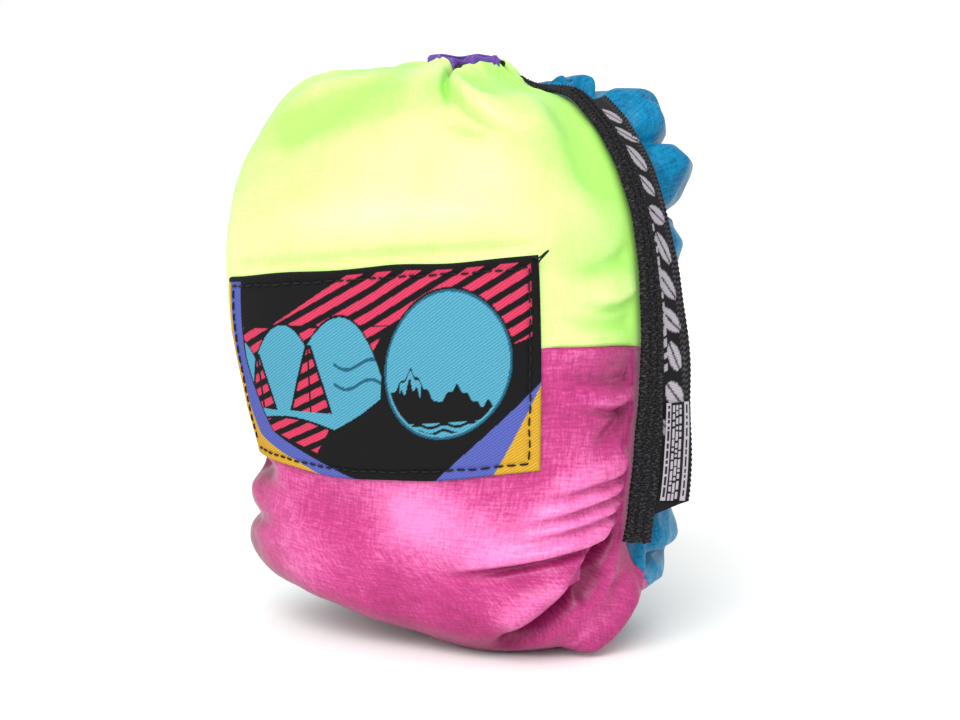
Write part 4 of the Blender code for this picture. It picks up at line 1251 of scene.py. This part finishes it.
        def place(u: np.ndarray, v: np.ndarray) -> np.ndarray:
            """Flat on the cloth, with its cut edges turned under and a slightly uneven line."""
            x, y = u * self.at.width, v * self.at.height
            edge = np.minimum(np.minimum(x, self.at.width - x), np.minimum(y, self.at.height - y))
            wander = 0.22 * np.sin(x / 5.1 + 1) * bell(np.minimum(y, self.at.height - y), 3.0)
            angle, drop = spot(u, v).T
            drop = drop + wander / self.at.drop_length
            turned = np.sqrt(np.clip(1 - (1 - np.clip(edge / 0.9, 0, 1)) ** 2, 0, 1))
            height = self.lift + self.thickness * (0.1 + 0.9 * turned)
            sewn = bell(edge - self.stitch_inset, 0.7)
            height = height - 0.3 * sewn + 0.12 * np.sin(x / 6.5) * np.sin(y / 8.0) * turned
            return FORM.point(angle, drop) + FORM.normal(angle, drop) * height[:, None]

        def flat(u: np.ndarray, v: np.ndarray) -> np.ndarray:
            """Millimetres across and up the badge."""
            return np.stack([u * self.at.width, v * self.at.height], axis=1)

        mesh = grid_mesh("badge_weave", columns, rows, place, flat)
        grid = self.grid_share(columns, rows)
        paint_design(mesh, self.picture(grid[:, 0] * self.at.width, grid[:, 1] * self.at.height))
        badge = add_piece("badge_weave", mesh, BADGE, "sack", ("woven_patch",))
        self.stitches(spot)

    @staticmethod
    def grid_share(columns: int, rows: int) -> np.ndarray:
        """The share of the width and height at each point of a grid mesh, in its own order."""
        bm = bmesh.new()
        bmesh.ops.create_grid(bm, x_segments=columns, y_segments=rows, size=1.0)
        shares = np.array([((vert.co.x + 1) / 2, (vert.co.y + 1) / 2) for vert in bm.verts])
        bm.free()
        return shares

    def stitches(self, spot: Places) -> None:
        """The running stitch just inside the badge's edge, and its loose end."""
        inset = self.stitch_inset
        wide, tall = self.at.width, self.at.height
        corners = np.array([(inset, inset), (wide - inset, inset), (wide - inset, tall - inset),
                            (inset, tall - inset), (inset, inset)], float)
        line = evenly_spaced(corners, 0.25)
        line += 0.12 * np.sin(np.arange(len(line)) / 7)[:, None]
        angle, drop = spot(line[:, 0] / wide, line[:, 1] / tall).T
        count = round((self.stitch + self.stitch_gap) / 0.25)
        paths = []
        for start in range(0, len(line) - count, count):
            part = slice(start, start + round(self.stitch / 0.25) + 1)
            arch = np.sin(np.linspace(0, np.pi, len(angle[part])))
            height = self.lift + self.thickness - 0.22 + 0.3 * arch
            paths.append((FORM.point(angle[part], drop[part])
                          + FORM.normal(angle[part], drop[part]) * height[:, None])[::2])
        add_thread("badge_running_stitch", paths, self.stitch_radius, ("patch_stitching",))
        corner = FORM.raised(*self.at.spot(np.array([0.985]), np.array([0.975])).T, 1.5)[0]
        ends = [(-1.4, 0, 0.3), (0, -0.6, 0.9), (1.6, -0.9, 0.8), (3.2, -0.6, 2.1), (3.9, -0.3, 2.6),
                (3.0, -0.8, 1.4), (1.6, -0.8, -0.1), (1.1, -0.4, -1.2)]
        loose = curve_through([corner + np.array(end) for end in ends], np.linspace(0, 1, 60))
        add_thread("badge_loose_thread", [loose], 0.22)


# --- Side tapes, labels and stitches --------------------------------------------------------------


@dataclass
class SideTapes:
    """The overlocked binding of both side seams, the printed tape under the right one and the
    care label that is sewn to it."""

    rib_width: float = 6.8
    right_drops: tuple = (0.055, 0.628)
    right_height: float = 1.75
    left_drops: tuple = (0.07, 0.64)
    left_height: float = 0.9
    label_width: float = 15.0
    label_height: float = 0.9
    label_drops: tuple = (0.176, 0.600)
    label_slant: float = 0.023
    care_drops: tuple = (0.500, 0.588)
    care_widths: tuple = (7.6, 14.2)
    care_height: float = 1.8
    overlock_pitch: float = 1.2

    def length(self, seam: SeamLine, drops: tuple[float, float], width: float) -> float:
        """How long the tape is between two drops, at this distance across it."""
        steps = np.linspace(*drops, 200)
        line = seam.point(FORM, steps, np.full(200, width), np.zeros(200))
        return float(np.linalg.norm(np.diff(line, axis=0), axis=1).sum())

    def strip(self, name: str, seam: SeamLine, drops: tuple[float, float],
              widths: tuple[float, float], height: float, pitch: float,
              relief: Places, edge: Places | None = None,
              slant: float = 0.0) -> tuple[bpy.types.Mesh, np.ndarray]:
        """Make a strip that lies on a side tape.

        Args:
            name: The mesh's name.
            seam: The line that it is sewn along.
            drops: Its top and bottom ends.
            widths: Its two long edges, across the tape.
            height: How high its face is above the tape's back.
            pitch: The spacing of its mesh.
            relief: Gives the extra height at a distance across and along.
            edge: Gives how far a point moves across, to make the edge uneven.
            slant: How much further down its cut end reaches at the sewn edge than at the free one.

        Returns:
            The mesh, and the distances across and along of its points.
        """
        wide = widths[1] - widths[0]
        long = self.length(seam, drops, sum(widths) / 2)
        columns, rows = round(wide / pitch), round(long / pitch)
        order = seam.side.value

        def measure(u: np.ndarray, v: np.ndarray) -> np.ndarray:
            """Millimetres across from the strip's sewn edge and along from its top."""
            return np.stack([(u if order > 0 else 1 - u) * wide, (1 - v) * long], axis=1)

        def place(u: np.ndarray, v: np.ndarray) -> np.ndarray:
            """On the tape, with its relief."""
            across, along = measure(u, v).T
            slanted = drops[1] - drops[0] + slant * (0.5 - across / wide)
            drop = drops[0] + slanted * along / long
            moved = across + (edge(across, along) if edge else 0.0)
            return seam.point(FORM, drop, widths[0] + moved, height + relief(across, along))

        mesh = grid_mesh(name, columns, rows, place, measure)
        shares = WovenBadge.grid_share(columns, rows)
        return mesh, measure(shares[:, 0], shares[:, 1])

    def binding_relief(self, across: np.ndarray, along: np.ndarray) -> np.ndarray:
        """Three cords of overlock loops, sunk between, with the edges rolled down."""
        edge = np.minimum(across, self.rib_width - across)
        roll = -0.75 * (1 - np.sqrt(np.clip(1 - (1 - np.clip(edge / 0.9, 0, 1)) ** 2, 0, 1)))
        cords = 0.20 * np.abs(np.sin(np.pi * across / 2.27))
        loops = 0.16 * np.sin(2 * np.pi * (along / self.overlock_pitch + across / 3.1))
        knots = 0.12 * np.sin(along * 3.9 + 2 * np.sin(across * 2.2)) * np.sin(across * 5.3)
        sunk = -2.5 * (1 - smooth_step(0.0, 26.0, along))
        return roll + cords + (loops + knots) * np.clip(edge / 0.6, 0, 1) + sunk

    def binding_edge(self, across: np.ndarray, along: np.ndarray) -> np.ndarray:
        """The small thread loops that stand past both edges."""
        loops = 0.28 * np.abs(np.sin(np.pi * along / self.overlock_pitch)) \
            + 0.18 * np.sin(along / 2.9) * np.sin(along / 7.7)
        outer = bell(self.rib_width - across, 0.9)
        tapered = -0.72 * across * (1 - smooth_step(0.0, 24.0, along))
        return loops * (outer - bell(across, 0.9)) + tapered

    def label_relief(self, across: np.ndarray, along: np.ndarray) -> np.ndarray:
        """Overlocked thread along the free edge, and the slight waves of a hanging tape."""
        edge = self.label_width - 1.0 - across
        cord = 0.30 * bell(edge - 0.7, 0.75)
        loops = 0.16 * np.sin(2 * np.pi * along / self.overlock_pitch) * bell(edge - 0.7, 0.8)
        return cord + loops - 0.30 * bell(edge, 0.25)

    def label_edge(self, across: np.ndarray, along: np.ndarray) -> np.ndarray:
        """The serrated free edge."""
        outer = bell(self.label_width - 1.0 - across, 0.8)
        slow = 0.35 * np.sin(along / 8.5) + 0.2 * np.sin(along / 3.7)
        return outer * (0.30 * np.abs(np.sin(np.pi * along / self.overlock_pitch)) + slow)

    def label_print(self, across: np.ndarray, along: np.ndarray) -> np.ndarray:
        """Black satin with a row of slanting leaves and bars, and grey flecks on its edge."""
        colours = np.tile(np.array(linear("#0E0E10")[:3]), (len(across), 1))
        ink = np.array(linear("#9A949D")[:3])
        for k in range(11):
            middle = 9.0 + 8.1 * k
            turn = math.radians(34 + 12 * math.sin(k * 2.1))
            x, y = across - 10.0 - 0.5 * math.sin(k * 1.7), along - middle
            along_leaf = x * math.sin(turn) + y * math.cos(turn)
            across_leaf = x * math.cos(turn) - y * math.sin(turn)
            long, wide = 4.6 + 0.8 * math.sin(k * 1.3), 1.75 + 0.3 * math.cos(k * 2.9)
            leaf = (along_leaf / long) ** 2 + np.abs(across_leaf / wide) ** 1.5 < 1
            vein = np.abs(across_leaf) < 0.22
            colours[leaf & ~vein] = ink
        for k in range(13):
            half = 0.9 + 0.25 * math.sin(k * 5)
            bar = (np.abs(across - 7.5) < 0.7) & (np.abs(along - 44 - 2.6 * k) < half)
            colours[bar] = ink
        edge = self.label_width - 1.0 - across
        fleck = (np.sin(along * 5.2 + 1.5 * np.sin(across * 4)) > 0.62) & (edge < 1.6)
        colours[fleck] = linear("#454248")[:3]
        return colours

    def care_print(self, across: np.ndarray, along: np.ndarray) -> np.ndarray:
        """Two grey panels with dark dashes, and rows of grey dashes between them."""
        wide = self.care_widths[1] - self.care_widths[0]
        colours = np.tile(np.array(linear("#121214")[:3]), (len(across), 1))
        grey = np.array(linear("#9D97A0")[:3])
        dark = np.array(linear("#1C1B1F")[:3])
        panels = (across < 1.25) | ((across > wide - 1.75) & (across < wide - 0.35))
        draw = np.random.default_rng(11)
        colours[panels] = grey
        for middle, ink in ((0.65, dark), (2.0, grey), (2.9, grey), (3.8, grey), (wide - 1.05, dark)):
            start = 0.6
            while start < along.max() - 1:
                long = draw.uniform(0.6, 2.6)
                dash = (np.abs(across - middle) < 0.26) & (along > start) & (along < start + long)
                colours[dash] = ink
                start += long + draw.uniform(0.35, 0.7)
        return colours

    def build(self) -> None:
        """Both bindings, the printed tape, the care label and the stitches through them."""
        for name, seam, drops, height, node in (
                ("right_binding", RIGHT_SEAM, self.right_drops, self.right_height,
                 "side_tape_right"),
                ("left_binding", LEFT_SEAM, self.left_drops, self.left_height, "side_tape_left")):
            mesh, _ = self.strip(name, seam, drops, (0.0, self.rib_width), height, 0.34,
                                 self.binding_relief, self.binding_edge)
            add_wall(add_piece(name, mesh, BINDING, "sack", (node,)), 0.6)

        label, spots = self.strip("printed_tape", RIGHT_SEAM, self.label_drops,
                                  (1.0, self.label_width), self.label_height, 0.3,
                                  self.label_relief, self.label_edge, self.label_slant)
        paint_design(label, self.label_print(spots[:, 0] + 1.0, spots[:, 1]))
        piece = add_piece("printed_tape", label, LABEL, "sack", ("label_tape",))
        add_wall(piece, 0.4)
        self.length(RIGHT_SEAM, self.label_drops, 7.7) * MM

        care, spots = self.strip("care_label_print", RIGHT_SEAM, self.care_drops, self.care_widths,
                                 self.care_height, 0.15, lambda x, y: 0.05 * np.sin(y / 2.3))
        paint_design(care, self.care_print(spots[:, 0], spots[:, 1]))
        piece = add_piece("care_label_print", care, LABEL, "care_flap",
                          ("care_label",))
        add_wall(piece, 0.35)
        self.stitches()

    def stitches(self) -> None:
        """Two rows of lockstitch down the right binding, and a row along the level seam."""
        paths = []
        for across in (2.3, 4.5):
            drops = np.linspace(0.15, 0.624, 68)
            for start, end in zip(drops[:-1], drops[1:]):
                steps = np.linspace(start, start + (end - start) * 0.72, 5)
                height = self.right_height + 0.35 + 0.15 * np.sin(np.linspace(0, np.pi, 5))
                paths.append(RIGHT_SEAM.point(FORM, steps, np.full(5, across), height))
        add_thread("binding_lockstitch", paths, 0.26, ("tape_stitching",))
        cloth = SackCloth()
        paths = []
        for start in np.arange(-41.0, -6.0, 2.1):
            angles = np.linspace(start, start + 1.5, 5)
            drops = level_seam(angles) + 0.002
            surface = cloth.surface(angles, drops)
            lift = 0.10 * np.sin(np.linspace(0, np.pi, 5)) - 0.24
            paths.append(surface + FORM.normal(angles, drops) * lift[:, None])
        add_thread("level_seam_stitch", paths, 0.13, ("front_seam_stitching",))


# --- Drawcord and cord lock -----------------------------------------------------------------------


@dataclass(frozen=True)
class Drawcord:
    """The braided cord round the mouth, with its knot and its spring-loaded lock."""

    diameter: float = 2.0
    half_route: tuple = (
        (1.3, 54.5, 17.3), (1.4, 54.5, 38), (1.3, 54.5, 62), (1.3, 54.5, 86), (1.3, 54.5, 102),
        (1.3, 54.2, 112), (1.35, 51.8, 121), (1.5, 46.8, 129.6), (1.6, 39.6, 135.8),
        (1.7, 31.5, 140.2), (1.8, 24, 142.8), (1.9, 17.6, 145.0), (2.3, 12.2, 146.2),
        (3.5, 8.3, 146.1), (5.5, 4.9, 146), (7.1, 2.2, 146), (7.5, -1.0, 146), (6.2, -3.9, 146),
        (3.3, -5.8, 146), (0, -6.4, 146))
    length: float = 0.355
    knot: tuple = (0, 54.5, 12)
    knot_size: float = 1.16        # a third of the loop's reach
    lock: tuple = (0, 54.5, 102)
    barrel_radius: float = 6.5
    head_radius: float = 6.2

    def knot_paths(self) -> list[np.ndarray]:
        """The overhand loop, its two cut ends below and the two tails that come in above."""
        turn = np.linspace(0, 2 * np.pi, 161)
        loop = np.stack([np.sin(turn) + 2 * np.sin(2 * turn), -1.35 * np.sin(3 * turn),
                         np.cos(turn) - 2 * np.cos(2 * turn)], axis=1) * self.knot_size
        down, up = np.linspace(0, 1, 20), np.linspace(0, 1, 16)
        ends = [np.stack([side * (1.0 + 1.6 * down), 0.4 * down, -2.5 - 6.2 * down], axis=1)
                for side in (-1, 1)]
        leads = [np.stack([side * (1.3 - 0.5 * up), 0 * up, 5.5 - 4.5 * up], axis=1)
                 for side in (-1, 1)]
        return [np.array(self.knot) + path for path in (loop, *ends, *leads)]

    def braid(self, along: float, turn: float) -> float:
        """The over and under of the braid, as a share of the radius."""
        return 1 + 0.07 * math.sin(along * 2.6 + turn * 2) * math.sin(along * 2.6 - turn * 2)

    def build(self, nodes: Nodes) -> None:
        """The cord, knot, lock ribs and the finishes of the lock's own parts."""
        other = [(-x, y, z) for x, y, z in reversed(self.half_route[:-1])]
        fine = curve_through(list(self.half_route) + other, np.linspace(0, 1, 3000))
        path = evenly_spaced(fine, 0.4)
        mesh = tube_mesh("braided_drawcord", [path], self.diameter / 2, 12, relief=self.braid)
        cord = add_piece("braided_drawcord", mesh, CORD, "sack", ("drawcord",))

        mesh = tube_mesh("drawcord_overhand_knot", self.knot_paths(), self.diameter / 2, 12,
                         relief=self.braid)
        knot = add_piece("drawcord_overhand_knot", mesh, CORD, "sack",
                         ("drawcord_knot",))

        for name, finish in (("cord_lock_barrel", NYLON), ("cord_lock_button", NYLON),
                             ("cord_lock_spring", STEEL)):
            dress_node(nodes[name], finish)
        ribs = self.rings("lock_barrel_ribs", self.barrel_radius + 0.05,
                          [-10.6, -9.0, -7.4, -5.8, -4.2, 4.4, 6.0], 0.45)
        add_piece("lock_barrel_ribs", ribs, NYLON, "cord_lock")
        grip = self.rings("lock_button_grip", self.head_radius * 0.5, [14.45], 0.4)
        add_piece("lock_button_grip", grip, NYLON, "lock_button")

    def rings(self, name: str, radius: float, places: list[float], thick: float) -> bpy.types.Mesh:
        """Moulded rings round the lock's axis at these places along it."""
        turn = np.linspace(0, 2 * np.pi, 61)
        middle = np.array(self.lock, float)
        paths = [middle + np.stack([np.full(61, x), radius * np.cos(turn), radius * np.sin(turn)], axis=1)
                 for x in places]
        return tube_mesh(name, paths, thick, 8, round_ends=False)


# --- Contents -------------------------------------------------------------------------------------


def dress_node(node: bpy.types.Object, finish: Finish) -> None:
    """Give a carried-over part its finish."""
    for spot in node.material_slots:
        spot.material = finish.material()


def start_reshape(node: bpy.types.Object) -> bmesh.types.BMesh:
    """A copy of a plain solid's mesh with its doubled points merged, ready to reshape."""
    bm = bmesh.new()
    bm.from_mesh(node.data)
    bmesh.ops.remove_doubles(bm, verts=bm.verts, dist=1e-6)
    return bm


def end_reshape(bm: bmesh.types.BMesh, name: str) -> bpy.types.Mesh:
    """The reshaped mesh, with a simple flat pattern in millimetres across and up."""
    mesh = bpy.data.meshes.new(name)
    bm.to_mesh(mesh)
    bm.free()
    mesh.shade_smooth()
    if CLOTH_UV not in mesh.uv_layers:
        mesh.uv_layers.new(name=CLOTH_UV)
    set_pattern(mesh, point_places(mesh)[:, (0, 2)] / MM)
    return mesh


@dataclass(frozen=True)
class Contents:
    """The bed's folded cloth, its two gathered ends and their rope loops and carabiners."""

    fold_height: float = 7.5
    fold_depth: float = 1.3
    pleats: int = 5
    pleat_share: float = 0.07      # how far a pleat runs in, as a share of the gathered end
    rope_radius: float = 2.0
    cloth: SackCloth = field(default_factory=SackCloth)

    def folded_layer(self, name: str, node: str, finish: Finish, nodes: Nodes) -> None:
        """Fold the plain block of one layer into stacked turns of cloth."""
        bm = start_reshape(nodes[node])
        bmesh.ops.triangulate(bm, faces=bm.faces)
        long = [edge for edge in bm.edges if edge.calc_length() > 8 * MM]
        bmesh.ops.subdivide_edges(bm, edges=long, cuts=3, use_grid_fill=True)
        bm.normal_update()
        for vert in bm.verts:
            phase = vert.co.z / MM / self.fold_height + 0.35 * math.sin(vert.co.x / MM / 17)
            inward = abs(math.sin(math.pi * phase)) * self.fold_depth
            vert.co -= vert.normal * inward * MM
            near_base = float(smooth_step(55, 10, vert.co.z / MM))
            vert.co.z += float(self.cloth.base_middle(vert.co.x / MM)) * near_base * MM
        add_piece(name, end_reshape(bm, name), finish, "sack", (node,))

    def gathered_end(self, name: str, node: str, nodes: Nodes) -> None:
        """Pleat one gathered end of the bed round its whipping."""
        bm = start_reshape(nodes[node])
        bmesh.ops.subdivide_edges(bm, edges=bm.edges, cuts=2, use_grid_fill=True)
        low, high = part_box(node)
        middle = (low + high) / 2
        for vert in bm.verts:
            turn = math.atan2(vert.co.y - middle.y, vert.co.x - middle.x)
            share = 1 - self.pleat_share * abs(math.sin(self.pleats * turn + vert.co.z / MM * 0.12))
            vert.co.x = middle.x + (vert.co.x - middle.x) * share
            vert.co.y = middle.y + (vert.co.y - middle.y) * share
        add_piece(name, end_reshape(bm, name), PINK, "sack", (node,))

    def rope_loop(self, name: str, node: str) -> None:
        """Twist the strands of one rope loop."""
        low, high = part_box(node)
        low, high = np.array(low) / MM - CENTRE_LINE, np.array(high) / MM - CENTRE_LINE
        radius = self.rope_radius
        half = (high[1] - low[1]) / 2 - radius
        middle = (low + high) / 2
        straight = (high[2] - low[2]) / 2 - radius - half
        turn = np.linspace(0, 2 * np.pi, 241)
        rise = half * np.sin(turn) + straight * np.tanh(4 * np.sin(turn))
        path = np.stack([np.full(241, middle[0]), middle[1] + half * np.cos(turn),
                         middle[2] + rise], axis=1)
        mesh = tube_mesh(name, [path], radius, 14, round_ends=False,
                         relief=lambda s, a: 1 - 0.12 * abs(math.sin(1.5 * a + s * 0.55)))
        add_piece(name, mesh, ROPE, "sack", (node,))

    def build(self, nodes: Nodes) -> None:
        """Everything inside the sack."""
        for name, node, finish, slot in (
                ("folded_side_near", "bed_side_panel_near", TEAL, "teal_taffeta"),
                ("folded_side_far", "bed_side_panel_far", TEAL, "teal_taffeta"),
                ("folded_centre", "bed_centre_panel", PINK, "pink_taffeta")):
            self.folded_layer(name, node, finish, nodes)
        for end in ("head", "foot"):
            self.gathered_end(f"{end}_gathered_hem", f"{end}_end_gather", nodes)
            self.rope_loop(f"{end}_rope", f"{end}_rope_loop")
            dress_node(nodes[f"{end}_carabiner_body"], ALUMINIUM)
            dress_node(nodes[f"{end}_carabiner_gate"], STEEL)


# --- Studio ---------------------------------------------------------------------------------------


def direction(azimuth: float, elevation: float) -> Vector:
    """The way from the object to a place at these degrees round from the front and up."""
    a, e = math.radians(azimuth), math.radians(elevation)
    return Vector((math.sin(a) * math.cos(e), -math.cos(a) * math.cos(e), math.sin(e)))


@dataclass(frozen=True)
class Studio:
    """A pale floor, soft light and the camera."""

    azimuth: float = 30.0
    elevation: float = 8.0
    distance: float = 0.620
    target: tuple = (-0.00115, -0.00156, 0.075)
    frame_right: float = 0.0041
    frame_up: float = -0.0044
    lens: float = 89.7
    sun_way: tuple = (-20.0, 36.0)     # degrees round from the camera, and up
    sun_strength: float = 2.2
    sun_softness: float = 50.0
    box_way: tuple = (-8.0, 34.0)
    box_size: tuple = (0.5, 0.35)
    box_power: float = 2.0
    sky_strength: float = 1.0
    floor_size: float = 60.0

    def build(self) -> None:
        """Camera, floor, sun, soft box and sky."""
        back = direction(self.azimuth, self.elevation)
        right = direction(self.azimuth + 90, 0.0)
        shifted = Vector(self.target) + right * self.frame_right + back.cross(right) * self.frame_up
        camera = bpy.data.objects.new("camera", bpy.data.cameras.new("camera"))
        camera.data.lens = self.lens
        camera.data.clip_start = 0.01
        camera.location = shifted + back * self.distance
        camera.rotation_euler = back.to_track_quat("Z", "Y").to_euler()
        bpy.context.scene.collection.objects.link(camera)
        bpy.context.scene.camera = camera

        bm = bmesh.new()
        bmesh.ops.create_grid(bm, x_segments=2, y_segments=2, size=self.floor_size)
        mesh = bpy.data.meshes.new("floor")
        bm.to_mesh(mesh)
        bm.free()
        mesh.materials.append(CARD.material())
        floor = bpy.data.objects.new("floor", mesh)
        bpy.context.scene.collection.objects.link(floor)

        sun = bpy.data.lights.new("key_sun", "SUN")
        sun.energy = self.sun_strength
        sun.angle = math.radians(self.sun_softness)
        self.hang(sun, self.sun_way, 2.0)
        box = bpy.data.lights.new("soft_box", "AREA")
        box.shape = "RECTANGLE"
        box.size, box.size_y = self.box_size
        box.energy = self.box_power
        self.hang(box, self.box_way, 1.0)

        world = bpy.data.worlds.new("sky")
        world.use_nodes = True
        world.node_tree.nodes["Background"].inputs["Color"].default_value = linear("#FFFFFF")
        world.node_tree.nodes["Background"].inputs["Strength"].default_value = self.sky_strength
        bpy.context.scene.world = world
        bpy.context.scene.view_settings.view_transform = "Standard"

    def hang(self, light: bpy.types.Light, way: tuple[float, float], distance: float) -> None:
        """Hang a light at an azimuth from the camera and an elevation, turned to the object."""
        back = direction(self.azimuth + way[0], way[1])
        lamp = bpy.data.objects.new(light.name, light)
        lamp.location = Vector(self.target) + back * distance
        lamp.rotation_euler = back.to_track_quat("Z", "Y").to_euler()
        bpy.context.scene.collection.objects.link(lamp)


def main() -> None:
    """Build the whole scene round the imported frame."""
    logging.basicConfig(level=logging.INFO, format="%(name)s: %(message)s")
    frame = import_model()
    nodes = frame["nodes"]
    Studio().build()
    Drawcord().build(nodes)
    SackCloth().build()
    MouthSleeve().build()
    WovenBadge().build()
    SideTapes().build()
    Contents().build(nodes)


if __name__ == "__main__":
    main()
